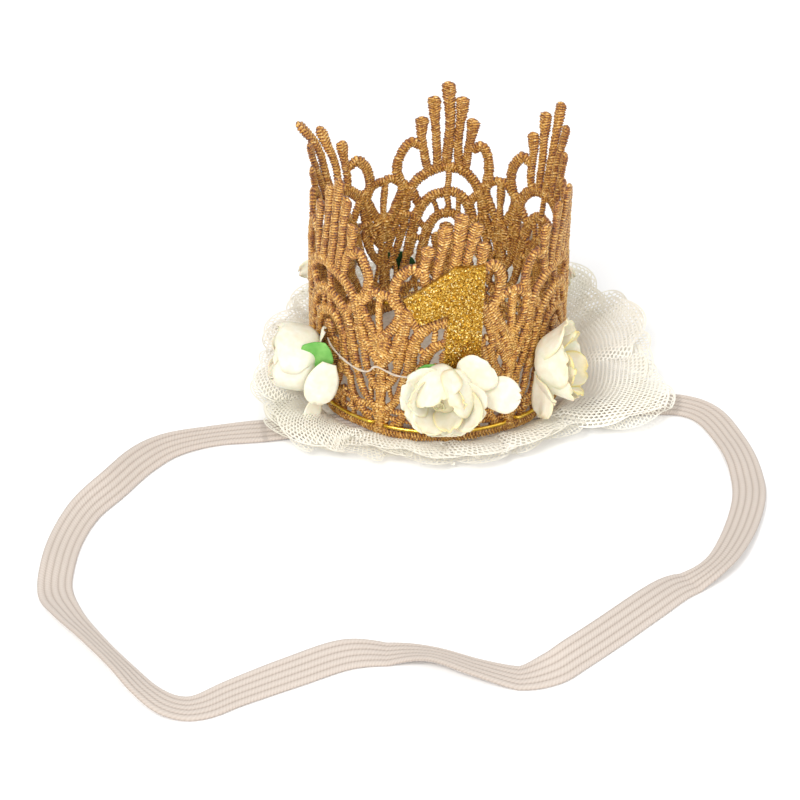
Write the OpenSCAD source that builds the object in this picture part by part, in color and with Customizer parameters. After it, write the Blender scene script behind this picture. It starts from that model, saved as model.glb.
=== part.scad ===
// Mini crown headband: a pierced crown of corded lace with a glitter numeral, paper roses
// and a net ruffle round its foot, on a felt base that carries a loop of flat elastic.
// Millimetres, +Z up, origin at the centre of the base's underside, front of the crown at -Y.

/* [Crown] */
// Outer diameter of the lace cylinder
crown_d = 65; // [60:1:70]
// Height of the lace from its foot to the tips of its points
lace_h = 67; // [60:1:76]
// Thickness of the lace wall
lace_t = 1.6; // [1.4:0.1:2]
// Width of one stitched lace cord
cord_w = 2.95; // [2.4:0.05:3.2]
// Diameter of the gold wire round the foot
wire_d = 1; // [0.8:0.1:1.2]
// Height of the gold wire above the foot of the lace
wire_rise = 3.8; // [3.6:0.1:5]

/* [Base and elastic] */
// Diameter of the felt base
base_d = 68; // [67:0.5:71]
// Thickness of the felt base
base_t = 2; // [2:0.1:3]
// Width of the elastic
band_w = 8; // [6:0.5:10]
// Thickness of the elastic
band_t = 1; // [0.8:0.1:1.2]
// Width of the elastic's loop from side to side
loop_w = 164; // [156:1:176]
// Reach of the elastic's loop in front of the crown's centre
loop_reach = 130; // [120:1:140]
// Distance of the elastic's glued stretch in front of the crown's centre
band_offset = 19.5; // [16:0.5:22]
// Turn of the glued stretch about the vertical
band_turn = 7; // [4:0.5:10]

/* [Ruffles] */
// Thickness of the gathered net
net_t = 1; // [1:0.1:1.4]
// Reach of the lower ruffle beyond the crown
ruffle_reach = 20; // [16:1:24]
// Height of the lower ruffle's edge where it stands highest
ruffle_lift = 12; // [8:1:14]
// Height of the lower ruffle's flutes
flute_h = 2.4; // [1:0.1:3]
// Reach of the upper ruffle as a share of the lower one
upper_share = 0.62; // [0.45:0.01:0.75]

/* [Numeral] */
// Height of the numeral
numeral_h = 34; // [30:1:36]
// Width of the numeral from its flag to its stem
numeral_w = 19.5; // [17:0.5:21]
// Thickness of the numeral's sheet
numeral_t = 1; // [1:0.1:1.4]
// Height of the numeral's foot above the foot of the lace
numeral_rise = 17; // [14:1:18]

/* [Roses and leaves] */
// Diameter of a rose
rose_d = 26; // [22:1:27]
// Thickness of a paper petal
petal_t = 1; // [0.9:0.1:1.2]
// Length of a leaf
leaf_l = 11; // [8:1:12]
// Thickness of a paper leaf
leaf_t = 1; // [0.9:0.1:1.2]

/* [Fit] */
// Gap between neighbouring pieces
gap = 0.2; // [0.15:0.05:0.3]

/* [Hidden] */

crown_r = crown_d / 2;
wall_r = crown_r - lace_t / 2;
base_r = base_d / 2;
lace_z = base_t + gap;
front_az = -90;

// One row for each lace point: azimuth of its centre, then how far its tip leans outward,
// sways anticlockwise and sinks, all three as shares of the lace's height.
POINT_AZ = 0;
POINT_LEAN = 1;
POINT_SWAY = 2;
POINT_SINK = 3;
points = [
    [-86.5, 0.01, 0.05, 0.035],
    [-27.5, 0.04, 0.02, 0.06],
    [32.5, 0.09, 0.015, 0.01],
    [85, 0, -0.005, 0],
    [146, 0.12, 0.025, 0.09],
    [212.5, -0.03, 0.05, 0.01],
];
lean_start = 0.55;

// Cords of one lace point's right half: width as a share of cord_w, then the stops of its
// centre line, each as a share of the half pitch and a share of the lace's height.
CORD_WIDTH = 0;
CORD_STOPS = 1;
finger_cords = [
    [1.05, [[0, 0.66], [0, 0.977]]],
    [0.98, [[0.18, 0.65], [0.22, 0.925]]],
    [0.98, [[0.34, 0.64], [0.43, 0.835]]],
    [0.8, [[0.47, 0.73], [0.6, 0.745], [0.74, 0.69], [0.77, 0.62], [0.7, 0.56]]],
];
arch_cords = [
    [1.05, [[0, 0.635], [0.22, 0.627], [0.42, 0.595], [0.57, 0.54], [0.64, 0.47], [0.67, 0.4]]],
    [0.6, [[0, 0.53], [0, 0.62]]],
    [1, [[0, 0.525], [0.22, 0.51], [0.39, 0.465], [0.48, 0.4], [0.53, 0.32], [0.6, 0.25]]],
    [0.9, [[0.39, 0.465], [0.57, 0.54]]],
    [0.85, [[0, 0.435], [0.17, 0.42], [0.29, 0.37], [0.33, 0.3], [0.3, 0.22]]],
    [0.6, [[0, 0.44], [0, 0.52]]],
];
fan_cords = [
    [1.4, [[0, 0.08], [0, 0.33]]],
    [1.2, [[0, 0.22], [0.15, 0.3]]],
    [1, [[0, 0.1], [0.3, 0.22]]],
];
valley_cords = [
    [0.8, [[0.7, 0.56], [0.82, 0.595], [0.93, 0.605], [1, 0.6]]],
    [0.85, [[1, 0.6], [1, 0.42]]],
    [0.95, [[0.67, 0.56], [0.76, 0.49], [0.87, 0.44], [1, 0.42]]],
    [1.8, [[0.95, 0.4], [1, 0.35]]],
    [0.95, [[0.66, 0.4], [0.82, 0.32], [1, 0.26]]],
    [0.95, [[0.6, 0.25], [0.8, 0.17], [1, 0.12]]],
    [1, [[1, 0.3], [1, 0.08]]],
];
// The closed band at the foot: its height as a share of the lace's, and how far each point's
// stretch reaches towards the next, as a share of the half pitch.
foot_share = 0.095;
foot_overlap = 1.04;

// Rows of the lower ruffle: azimuth, reach beyond the crown as a share of ruffle_reach and
// height of the edge as a share of ruffle_lift.
RUFFLE_AZ = 0;
RUFFLE_OUT = 1;
RUFFLE_UP = 2;
ruffle_rows = [
    [0, 1.17, 0.6],
    [20, 1.15, 0.8],
    [42, 1.08, 0.7],
    [62, 1, 0.6],
    [85, 0.9, 0.55],
    [110, 0.85, 0.6],
    [130, 0.87, 0.6],
    [150, 0.75, 0.5],
    [170, 0.7, 0.35],
    [190, 0.72, 0.25],
    [208, 0.85, 0.24],
    [222, 0.85, 0.2],
    [238, 0.5, 0.12],
    [252, 0.26, 0.12],
    [268, 0.32, 0.1],
    [290, 0.38, 0.1],
    [312, 0.42, 0.12],
    [328, 0.75, 0.12],
    [341, 1.45, 0.2],
    [350, 1.28, 0.3],
    [360, 1.17, 0.6],
];
flutes_lower = 15;
flutes_upper = 14;
lobe_share = 0.07;
columns_lower = 75;
columns_upper = 70;

// Rows of the elastic's free loop, from the left of the crown round the front to its right:
// place as shares of half the loop's width and of its reach, then the angle in degrees by
// which the outer edge is raised (negative where the inner edge is).
BAND_X = 0;
BAND_Y = 1;
BAND_TILT = 2;
band_rows = [
    [-0.54, -0.196, 8], [-0.69, -0.21, 4], [-0.81, -0.248, 16], [-0.89, -0.31, 32],
    [-0.96, -0.39, 38], [-1.03, -0.455, 21], [-1.07, -0.53, 10], [-1.085, -0.61, 8],
    [-1.08, -0.69, 0], [-1.03, -0.765, 20], [-0.95, -0.84, 32], [-0.86, -0.915, 32],
    [-0.79, -0.97, 22], [-0.72, -1, 6], [-0.64, -1, -3], [-0.55, -0.967, -9],
    [-0.4, -0.918, -18], [-0.26, -0.873, -18], [-0.14, -0.862, 2], [-0.03, -0.873, 18],
    [0.09, -0.906, 14], [0.2, -0.925, 0], [0.29, -0.914, -24], [0.36, -0.882, -42],
    [0.46, -0.82, -40], [0.57, -0.745, -30], [0.66, -0.682, -10], [0.75, -0.64, 14],
    [0.81, -0.59, 17], [0.87, -0.5, 10], [0.91, -0.4, 6], [0.91, -0.3, -3],
    [0.88, -0.21, 0], [0.83, -0.14, 6], [0.76, -0.108, 7], [0.67, -0.103, 4],
];
band_steps = 2;

// Outline of the numeral, as shares of its width and height, and the place of its left edge
// beside the middle of the crown's front, as a share of its width.
numeral_outline = [[0.62, 1], [1, 0.99], [0.94, 0], [0.47, 0], [0.555, 0.625], [0.2, 0.53], [0, 0.72]];
numeral_left = -0.45;

// One row for each rose: azimuth, height as a share of the lace's, tilt upward and turn
// to the left of straight out in degrees, diameter as a share of rose_d.
ROSE_AZ = 0;
ROSE_Z = 1;
ROSE_UP = 2;
ROSE_TURN = 3;
ROSE_D = 4;
front_rose = [-83, 0.275, 12, -10, 0.95];
right_rose = [-44, 0.26, 12, 32, 0.92];
back_right_rose = [46, 0.24, 14, 0, 0.9];
back_left_rose = [140, 0.24, 14, 0, 0.92];
left_rose = [210, 0.21, 14, -32, 0.92];

// One row for each leaf: azimuth, height as a share of the lace's and lean of its long
// side from the vertical in degrees.
LEAF_AZ = 0;
LEAF_Z = 1;
LEAF_LEAN = 2;
front_leaf = [-97, 0.37, 30];
left_leaf = [214, 0.34, 60];
back_left_leaf = [106, 0.2, 35];
back_right_leaf = [62, 0.22, -30];

// Whorls of a rose, from the outside in: how many petals, turn in degrees, depth of the notch
// between two petals and the cup's outer line as radius and height, as shares of the diameter.
WHORL_COUNT = 0;
WHORL_SPIN = 1;
WHORL_NOTCH = 2;
WHORL_LINE = 3;
whorls = [
    [5, 12, 0.2, [[0.05, 0], [0.2, 0.02], [0.37, 0.11], [0.47, 0.24], [0.5, 0.38]]],
    [4, 40, 0.17, [[0.1, 0.03], [0.24, 0.1], [0.32, 0.22], [0.33, 0.36], [0.3, 0.5]]],
    [3, 5, 0.14, [[0.06, 0.04], [0.16, 0.14], [0.2, 0.28], [0.18, 0.44], [0.13, 0.58]]],
];
// A notch is a stepped V: its width as a share of a petal's, where it starts as a share of the
// rim's radius, and its shoulder as shares of its width and depth.
notch_w_share = 0.6;
notch_start_share = 0.65;
notch_shoulder = [0.2, 0.6];
rim_band = 1.3;
// The curled core of a rose, and the radius of its flat back, as shares of the diameter.
core_r_share = 0.085;
core_z_share = 0.06;
core_h_share = 0.46;
rose_back_share = 0.17;

// Radius of the arcs that bound a leaf, as a share of its length.
leaf_arc_share = 0.62;

function unit(v) = v / norm(v);
function total(v, i = 0) = i < len(v) ? v[i] + total(v, i + 1) : 0;

// Point between b and c on the smooth curve through a, b, c and d.
function smooth(a, b, c, d, t) =
    0.5 * (2 * b + (c - a) * t + (2 * a - 5 * b + 4 * c - d) * t * t
           + (3 * b - a - 3 * c + d) * t * t * t);

// Angle from azimuth b to azimuth a, between -180 and 180.
function turn_between(a, b) = ((a - b + 540) % 360) - 180;

module base_pad() {
    color("ivory")
    difference() {
        cylinder(r = base_r, h = base_t, $fn = 96);
        rotate([0, 0, band_turn])
            translate([-base_r - 1, -band_offset - band_w / 2 - gap, band_bed_z])
                cube([base_d + 2, band_w + 2 * gap, base_t]);
    }
}

// The elastic: a flat strip swept round its closed route.
band_bed_z = base_t - band_t - gap;
band_seat_z = band_bed_z + gap / 2;
bed_dir = [cos(band_turn), sin(band_turn)];
bed_mid = band_offset * [sin(band_turn), -cos(band_turn)];
bed_half = sqrt(base_r * base_r - pow(band_offset - band_w / 2, 2)) + 1;

// Route rows: x, y, tilt and height of the lowest edge.
band_free = [for (r = band_rows) [r[BAND_X] * loop_w / 2, r[BAND_Y] * loop_reach, r[BAND_TILT], 0]];
band_bed = [for (s = [1, 0.33, -0.33, -1])
    [bed_mid[0] + s * bed_half * bed_dir[0], bed_mid[1] + s * bed_half * bed_dir[1], 0, band_seat_z]];
band_route = concat(band_free, band_bed);
band_n = len(band_route);
band_line = [for (i = [0:band_n - 1], k = [0:band_steps - 1])
    smooth(band_route[(i + band_n - 1) % band_n], band_route[i], band_route[(i + 1) % band_n],
           band_route[(i + 2) % band_n], k / band_steps)];

// Corners of the strip's section at one stop: outer low, outer high, inner high, inner low.
function band_section(i) =
    let (n = len(band_line), p = band_line[i],
         ahead = band_line[(i + 1) % n] - band_line[(i + n - 1) % n],
         along = unit([ahead[0], ahead[1]]), out = [along[1], -along[0], 0],
         wide = out * cos(p[2]) + [0, 0, sin(p[2])],
         face = [0, 0, cos(p[2])] - out * sin(p[2]),
         low = (band_w * abs(sin(p[2])) + band_t * cos(p[2])) / 2,
         mid = [p[0], p[1], max(p[3], 0) + low])
    [for (c = [[1, -1], [1, 1], [-1, 1], [-1, -1]])
        mid + c[0] * wide * band_w / 2 + c[1] * face * band_t / 2];

module elastic_band() {
    n = len(band_line);
    color("bisque")
    polyhedron(
        points = [for (i = [0:n - 1]) each band_section(i)],
        faces = [for (i = [0:n - 1], k = [0:3])
            let (a = 4 * i + k, b = 4 * i + (k + 1) % 4,
                 c = 4 * ((i + 1) % n) + (k + 1) % 4, d = 4 * ((i + 1) % n) + k)
            each [[a, b, c], [a, c, d]]]);
}

// Ruffles: closed rings of gathered net whose edge rises and falls in flutes.
ruffle_in = crown_r + gap;
ruffle_seat = base_r + 3 * gap;
function ruffle_out(az) = ruffle_reach * lookup(az, [for (r = ruffle_rows) [r[RUFFLE_AZ], r[RUFFLE_OUT]]]);
function ruffle_up(az) = ruffle_lift * lookup(az, [for (r = ruffle_rows) [r[RUFFLE_AZ], r[RUFFLE_UP]]]);
function fold(az, count) = (1 + cos(count * az)) / 2;

// Height of the lower ruffle's middle at a share t of the way from its seat to its edge.
ruffle_z = base_t + gap + net_t / 2;
function lower_z(az, t) =
    let (edge = max(ruffle_up(az), net_t / 2 + gap))
    ruffle_z * (1 - t * t) + (edge + flute_h * fold(az, flutes_lower)) * t * t;
function lower_r(az, t) =
    ruffle_seat + t * (crown_r + ruffle_out(az) * (1 + lobe_share * cos(flutes_lower * az)) - ruffle_seat);
function upper_r(az, t) =
    let (edge_r = crown_r + ruffle_out(az) * (1 + lobe_share * cos(flutes_upper * az + 90)))
    ruffle_seat + t * upper_share * (edge_r - ruffle_seat);
function upper_z(az, t) =
    lower_z(az, min(1, (upper_r(az, t) - ruffle_seat) / (lower_r(az, 1) - ruffle_seat)))
    + net_t + 2 * gap + flute_h * t * t * fold(az + 10, flutes_upper);

// One column of a ruffle: its underside from the inner rim out, then its top side back in.
function ruffle_column(az, stops, upper) =
    let (mid = [for (s = stops) s < 0
            ? [ruffle_in, upper ? upper_z(az, 0) : lower_z(az, 0)]
            : upper ? [upper_r(az, s), upper_z(az, s)] : [lower_r(az, s), lower_z(az, s)]],
         n = len(mid),
         side = [for (i = [0:n - 1])
             let (d = unit(mid[min(i + 1, n - 1)] - mid[max(i - 1, 0)])) [-d[1], d[0]] * net_t / 2])
    [for (i = [0:n - 1]) turned(az, mid[i] - side[i]), for (i = [n - 1:-1:0]) turned(az, mid[i] + side[i])];
function turned(az, rz) = [rz[0] * cos(az), rz[0] * sin(az), rz[1]];

module ruffle(columns, stops, upper) {
    m = 2 * len(stops);
    polyhedron(
        points = [for (i = [0:columns - 1]) each ruffle_column(i * 360 / columns, stops, upper)],
        faces = [for (i = [0:columns - 1], k = [0:m - 1])
            let (j = (i + 1) % columns, l = (k + 1) % m,
                 a = m * i + k, b = m * i + l, c = m * j + l, d = m * j + k)
            each [[a, b, c], [a, c, d]]]);
}

module ruffle_lower() {
    color("beige") ruffle(columns_lower, [-1, 0, 0.5, 1], false);
}

module ruffle_upper() {
    color("ivory") ruffle(columns_upper, [-1, 0, 1], true);
}

// Lace: a leaning ring wall, kept only where the cords of its six points run.
facets = 30;
wall_levels = [-0.02, 0.604, 0.791, 1.04];
function half_gap(i, side) =
    let (n = len(points), j = (i + side + n) % n)
    abs(turn_between(points[j][POINT_AZ], points[i][POINT_AZ])) / 2;
function bend_at(v) = pow(max(0, v - lean_start) / (1 - lean_start), 1.4);
function lean_at(az, v) =
    lace_h * bend_at(v)
    * total([for (p = points)
        let (d = abs(turn_between(az, p[POINT_AZ]))) d < 30 ? p[POINT_LEAN] * (1 + cos(d * 6)) / 2 : 0]);
function wall_ring(v, r) =
    [for (i = [0:facets - 1]) let (az = i * 360 / facets)
        turned(az, [r + lean_at(az, v), v * lace_h])];

module lace_wall() {
    rings = [for (v = wall_levels) each [wall_ring(v, crown_r)],
             for (k = [len(wall_levels) - 1:-1:0]) each [wall_ring(wall_levels[k], crown_r - lace_t)]];
    m = len(rings);
    polyhedron(
        points = [for (ring = rings) each ring],
        faces = [for (k = [0:m - 1], i = [0:facets - 1])
            let (j = (i + 1) % facets, l = (k + 1) % m,
                 a = facets * k + i, b = facets * k + j, c = facets * l + j, d = facets * l + i)
            each [[a, c, b], [a, d, c]]]);
}

// Place of a stop of a lace cord on its point's flat pattern.
function on_pattern(i, side, stop) =
    [side * wall_r * sin(min(stop[0] * half_gap(i, side), 89))
     + points[i][POINT_SWAY] * lace_h * bend_at(stop[1]),
     (stop[1] - points[i][POINT_SINK] * bend_at(stop[1])) * lace_h];

module cord(i, side, row) {
    stops = row[CORD_STOPS];
    for (k = [0:len(stops) - 2])
        hull()
            for (s = [stops[k], stops[k + 1]])
                translate(on_pattern(i, side, s)) circle(d = row[CORD_WIDTH] * cord_w, $fn = 6);
}

module point_pattern(i) {
    for (side = [-1, 1]) {
        for (row = concat(finger_cords, arch_cords, fan_cords, valley_cords))
            cord(i, side, row);
        polygon([on_pattern(i, side, [0, 0]), on_pattern(i, side, [foot_overlap, 0]),
                 on_pattern(i, side, [foot_overlap, foot_share]), on_pattern(i, side, [0, foot_share])]);
    }
}

module lace_crown() {
    color("goldenrod")
    translate([0, 0, lace_z])
    intersection() {
        lace_wall();
        for (i = [0:len(points) - 1])
            rotate([0, 0, points[i][POINT_AZ] - front_az])
                rotate([90, 0, 0])
                    translate([0, 0, crown_r / 2])
                        linear_extrude(crown_r) point_pattern(i);
    }
}

module gold_wire() {
    color("gold")
    translate([0, 0, lace_z + wire_rise])
        rotate_extrude($fn = 96)
            translate([crown_r + gap + wire_d / 2, 0]) circle(d = wire_d, $fn = 24);
}

module number_one() {
    inner_r = crown_r + 2 * gap;
    color("darkgoldenrod")
    intersection() {
        translate([numeral_w * numeral_left, 0, lace_z + numeral_rise])
            rotate([90, 0, 0])
                linear_extrude(crown_d)
                    polygon([for (p = numeral_outline) [p[0] * numeral_w, p[1] * numeral_h]]);
        difference() {
            cylinder(r = inner_r + numeral_t, h = crown_d + lace_h, $fn = 96);
            translate([0, 0, -1]) cylinder(r = inner_r, h = crown_d + lace_h + 2, $fn = 96);
        }
    }
}

// Points of a line moved sideways by w, to the left of its direction.
function beside(line, w) =
    let (n = len(line))
    [for (i = [0:n - 1])
        let (d = unit(line[min(i + 1, n - 1)] - line[max(i - 1, 0)])) line[i] + [-d[1], d[0]] * w];

// One whorl of petals: a revolved cup of paper whose rim is notched between the petals.
module whorl(row, d) {
    line = row[WHORL_LINE] * d;
    inner_line = beside(line, petal_t);
    rim = line[len(line) - 1];
    count = row[WHORL_COUNT];
    cut_w = 2 * rim[0] * sin(180 / count) * notch_w_share;
    cut_h = row[WHORL_NOTCH] * d;
    step = [cut_w * notch_shoulder[0], -cut_h * notch_shoulder[1]];
    corner = [cut_w / 2, -rim_band * petal_t];
    difference() {
        rotate_extrude($fn = 48)
            polygon(concat(line, [for (i = [len(line) - 1:-1:0]) inner_line[i]]));
        for (k = [0:count - 1])
            rotate([0, 0, row[WHORL_SPIN] + k * 360 / count])
                translate([notch_start_share * rim[0], 0, rim[1] + petal_t])
                    rotate([90, 0, 90])
                        linear_extrude(d)
                            polygon([[-corner[0], d], [-corner[0], corner[1]], [-step[0], step[1]], [0, -cut_h],
                                     step, corner, [corner[0], d]]);
    }
}

// A rose of diameter d that opens towards +Z, its back at the origin.
module rose(d) {
    for (row = whorls) whorl(row, d);
    translate([0, 0, core_z_share * d]) cylinder(r = core_r_share * d, h = core_h_share * d, $fn = 32);
}

// A rose set with its back against the lace, or a given distance in front of it. It stands
// off by as much as its tilt and turn push the rim of its flat back inward.
module set_rose(row, in_front = 0) {
    d = row[ROSE_D] * rose_d;
    askew = acos(cos(row[ROSE_UP]) * cos(row[ROSE_TURN]));
    color("floralwhite")
    rotate([0, 0, row[ROSE_AZ]])
        translate([crown_r + gap + in_front + rose_back_share * d * sin(askew), 0,
                   lace_z + row[ROSE_Z] * lace_h])
            rotate([0, 0, row[ROSE_TURN]])
                rotate([0, 90 - row[ROSE_UP], 0])
                    rose(d);
}

module rose_front() { set_rose(front_rose, numeral_t + 2 * gap); }
module rose_right() { set_rose(right_rose); }
module rose_back_right() { set_rose(back_right_rose); }
module rose_back_left() { set_rose(back_left_rose); }
module rose_left() { set_rose(left_rose); }

// A pointed leaf standing against the lace.
module set_leaf(row) {
    blade_r = leaf_l * leaf_arc_share;
    color("forestgreen")
    rotate([0, 0, row[LEAF_AZ]])
        translate([crown_r + 2 * gap, 0, lace_z + row[LEAF_Z] * lace_h])
            rotate([row[LEAF_LEAN], 0, 0])
                rotate([0, 90, 0])
                    linear_extrude(leaf_t)
                        intersection_for (side = [-1, 1])
                            translate([0, side * sqrt(blade_r * blade_r - leaf_l * leaf_l / 4)])
                                circle(r = blade_r, $fn = 64);
}

module leaf_front() { set_leaf(front_leaf); }
module leaf_left() { set_leaf(left_leaf); }
module leaf_back_left() { set_leaf(back_left_leaf); }
module leaf_back_right() { set_leaf(back_right_leaf); }

base_pad();
elastic_band();
ruffle_lower();
ruffle_upper();
lace_crown();
gold_wire();
number_one();
rose_front();
rose_right();
rose_back_right();
rose_back_left();
rose_left();
leaf_front();
leaf_left();
leaf_back_left();
leaf_back_right();
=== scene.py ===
"""Looks of the mini crown headband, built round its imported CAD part.

A small crown of satin-stitched lace stands on a felt disc, with a glitter numeral, paper roses and
gathered net round its foot, and a loop of ribbed elastic lies in front of it. Lengths are in
millimetres until a mesh is made, which is in metres. The front of the crown is at -Y.
"""

import logging
import math
from dataclasses import dataclass, field, replace
from enum import Enum

import bpy
import numpy as np
from mathutils import Matrix, Vector


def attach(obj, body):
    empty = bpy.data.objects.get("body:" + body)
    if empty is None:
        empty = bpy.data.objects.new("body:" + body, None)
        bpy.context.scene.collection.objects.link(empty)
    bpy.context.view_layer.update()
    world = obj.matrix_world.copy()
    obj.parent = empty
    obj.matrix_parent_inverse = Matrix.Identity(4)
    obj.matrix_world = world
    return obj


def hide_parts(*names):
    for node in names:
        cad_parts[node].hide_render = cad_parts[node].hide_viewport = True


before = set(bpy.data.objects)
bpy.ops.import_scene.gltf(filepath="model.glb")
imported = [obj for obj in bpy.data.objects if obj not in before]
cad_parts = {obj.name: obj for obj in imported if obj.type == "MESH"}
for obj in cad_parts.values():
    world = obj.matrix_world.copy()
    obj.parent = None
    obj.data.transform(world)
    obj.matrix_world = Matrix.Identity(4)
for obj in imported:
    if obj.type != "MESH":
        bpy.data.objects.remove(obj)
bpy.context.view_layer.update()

LOG = logging.getLogger("crown")
MM = 0.001
SEED = 7
STITCH = "stitch"
RIM = "rim"
ALONG = "along"
ACROSS = "across"


class Slot(Enum):
    """Material slots of the record."""

    FELT = "felt"
    ELASTIC = "elastic"
    NET = "net"
    LACE = "lace"
    WIRE = "wire"
    GLITTER = "glitter"
    PAPER = "paper"
    LEAF = "leaf"


def linear(colour: str) -> tuple:
    """Turn an sRGB hex colour into linear RGBA.

    Args:
        colour: The colour as "#RRGGBB".

    Returns:
        Red, green, blue and alpha from 0 to 1.
    """
    parts = [int(colour[k : k + 2], 16) / 255 for k in (1, 3, 5)]
    return tuple(c / 12.92 if c <= 0.04045 else ((c + 0.055) / 1.055) ** 2.4 for c in parts) + (1.0,)


def add_node(
    tree: bpy.types.NodeTree, kind: str, settings: dict | None = None, links: dict | None = None
) -> bpy.types.Node:
    """Add a shader node with its settings and links.

    Args:
        tree: The material's node tree.
        kind: The node's type, without its "ShaderNode" prefix.
        settings: Values by property name, or by input name or number; "stops" are a ramp's pairs of
            position and hex colour.
        links: Output sockets by the input name or number that each goes to.

    Returns:
        The new node.
    """
    node = tree.nodes.new("ShaderNode" + kind)
    for key, value in (settings or {}).items():
        if key == "stops":
            elements = node.color_ramp.elements
            while len(elements) < len(value):
                elements.new(0.5)
            for element, (position, colour) in zip(elements, value):
                element.position, element.color = position, linear(colour)
        elif isinstance(key, str) and hasattr(node, key):
            setattr(node, key, value)
        else:
            node.inputs[key].default_value = value
    for key, socket in (links or {}).items():
        tree.links.new(socket, node.inputs[key])
    return node


def unit(vectors: np.ndarray) -> np.ndarray:
    """Scale vectors to length 1."""
    return vectors / np.maximum(np.linalg.norm(vectors, axis=-1, keepdims=True), 1e-9)


def apart(a: np.ndarray, b: float) -> np.ndarray:
    """Give the angle between two azimuths, from 0 to 180 degrees."""
    return np.abs((a - b + 540) % 360 - 180)


def eased(share: np.ndarray) -> np.ndarray:
    """Ease a share in and out between 0 and 1."""
    share = np.clip(share, 0, 1)
    return share * share * (3 - 2 * share)


def squared(out: np.ndarray, along: np.ndarray) -> tuple:
    """Square directions to a line.

    Args:
        out: Directions that point away from the line.
        along: The line's own directions.

    Returns:
        The nearest directions at a right angle to the line, and those at a right angle to both.
    """
    out = unit(out - along * (out * along).sum(1, keepdims=True))
    return out, np.cross(out, along)


def curve_through(points: np.ndarray, steps: int, closed: bool = False) -> np.ndarray:
    """Lay a smooth curve through points.

    Args:
        points: Rows of coordinates.
        steps: How many pieces each stretch between two points gets.
        closed: Whether the last point joins the first.

    Returns:
        The curve's points in order.
    """
    p = np.asarray(points, float)
    if closed:
        rows = np.vstack([p[-1:], p, p[:2]])
    else:
        rows = np.vstack([2 * p[0] - p[1], p, 2 * p[-1] - p[-2]])
    t = np.linspace(0, 1, steps, endpoint=False)[:, None]
    stretches = []
    for a, b, c, d in zip(rows, rows[1:], rows[2:], rows[3:]):
        stretches.append(
            0.5 * (2 * b + (c - a) * t + (2 * a - 5 * b + 4 * c - d) * t**2 + (3 * b - a - 3 * c + d) * t**3)
        )
    if not closed:
        stretches.append(p[-1:])
    return np.vstack(stretches)


def evenly(line: np.ndarray, step: float, closed: bool = False) -> np.ndarray:
    """Space the points of a line evenly.

    Args:
        line: Rows of coordinates.
        step: The distance between two new points.
        closed: Whether the last point joins the first.

    Returns:
        The new points; a closed line doesn't repeat its first one.
    """
    whole = np.vstack([line, line[:1]]) if closed else line
    run = np.r_[0, np.cumsum(np.linalg.norm(np.diff(whole, axis=0), axis=1))]
    at = np.linspace(0, run[-1], max(3, round(run[-1] / step) + 1))
    out = np.stack([np.interp(at, run, whole[:, k]) for k in range(whole.shape[1])], 1)
    return out[:-1] if closed else out


def directions(line: np.ndarray, closed: bool = False) -> np.ndarray:
    """Give the direction of a line at each of its points.

    Args:
        line: Rows of coordinates.
        closed: Whether the last point joins the first.

    Returns:
        A row of length 1 for each point.
    """
    if closed:
        return unit(np.roll(line, -1, 0) - np.roll(line, 1, 0))
    return unit(np.gradient(line, axis=0))


class MeshParts:
    """Gathers many small shapes into one mesh with point attributes."""

    def __init__(self) -> None:
        """Start with no shapes."""
        self.points: list = []
        self.faces: list = []
        self.values: dict = {}
        self.count = 0

    def add(self, points: np.ndarray, faces: list, **values: np.ndarray) -> None:
        """Add one shape.

        Args:
            points: Its points in millimetres.
            faces: Tuples of indices into those points.
            values: An array for each named point attribute.
        """
        self.points.append(points)
        self.faces += [tuple(k + self.count for k in f) for f in faces]
        for key, value in values.items():
            self.values.setdefault(key, []).append(np.broadcast_to(np.asarray(value, float), len(points)))
        self.count += len(points)

    def sweep(self, centres: np.ndarray, section: np.ndarray, closed: bool, **values: np.ndarray) -> None:
        """Add a tube whose rings lie round a line.

        Args:
            centres: The middle of each ring, rings by 3.
            section: Each ring point's offset from its middle, rings by points by 3.
            closed: Whether the last ring joins the first.
            values: An array of rings by points for each named point attribute.
        """
        rings, around = section.shape[:2]
        points = (centres[:, None] + section).reshape(-1, 3)
        last = rings if closed else rings - 1
        faces = []
        for j in range(last):
            a, b = j * around, (j + 1) % rings * around
            faces += [(a + k, a + (k + 1) % around, b + (k + 1) % around, b + k) for k in range(around)]
        if not closed:
            faces.append(tuple(range(around - 1, -1, -1)))
            faces.append(tuple((rings - 1) * around + k for k in range(around)))
        flat = {k: np.broadcast_to(v, (rings, around)).reshape(-1) for k, v in values.items()}
        self.add(points, faces, **flat)

    def piece(self, name: str, smooth: bool = True) -> bpy.types.Object:
        """Make the mesh object.

        Args:
            name: The piece's name.
            smooth: Whether its faces are shaded smooth.

        Returns:
            The object, at the origin.
        """
        mesh = bpy.data.meshes.new(name)
        mesh.from_pydata((np.vstack(self.points) * MM).tolist(), [], self.faces)
        for key, value in self.values.items():
            layer = mesh.attributes.new(key, "FLOAT", "POINT")
            layer.data.foreach_set("value", np.concatenate(value).astype(np.float32))
        mesh.update()
        obj = bpy.data.objects.new(name, mesh)
        bpy.context.scene.collection.objects.link(obj)
        if smooth:
            mesh.shade_smooth()
        return obj


def places(obj: bpy.types.Object) -> np.ndarray:
    """List the places of a mesh's vertices, in metres."""
    return np.array([v.co for v in obj.data.vertices])


def reshape(obj: bpy.types.Object, points: np.ndarray) -> None:
    """Move a mesh's vertices.

    Args:
        obj: The piece.
        points: The new places in metres.
    """
    obj.data.vertices.foreach_set("co", points.astype(np.float32).ravel())
    obj.data.update()


def primitive(kind: str, **settings: object) -> bpy.types.Object:
    """Add a primitive mesh, with nothing else selected.

    Args:
        kind: The primitive's name.
        settings: Its operator's settings.

    Returns:
        The new object.
    """
    bpy.ops.object.select_all(action="DESELECT")
    getattr(bpy.ops.mesh, f"primitive_{kind}_add")(**settings)
    return bpy.context.active_object


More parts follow.
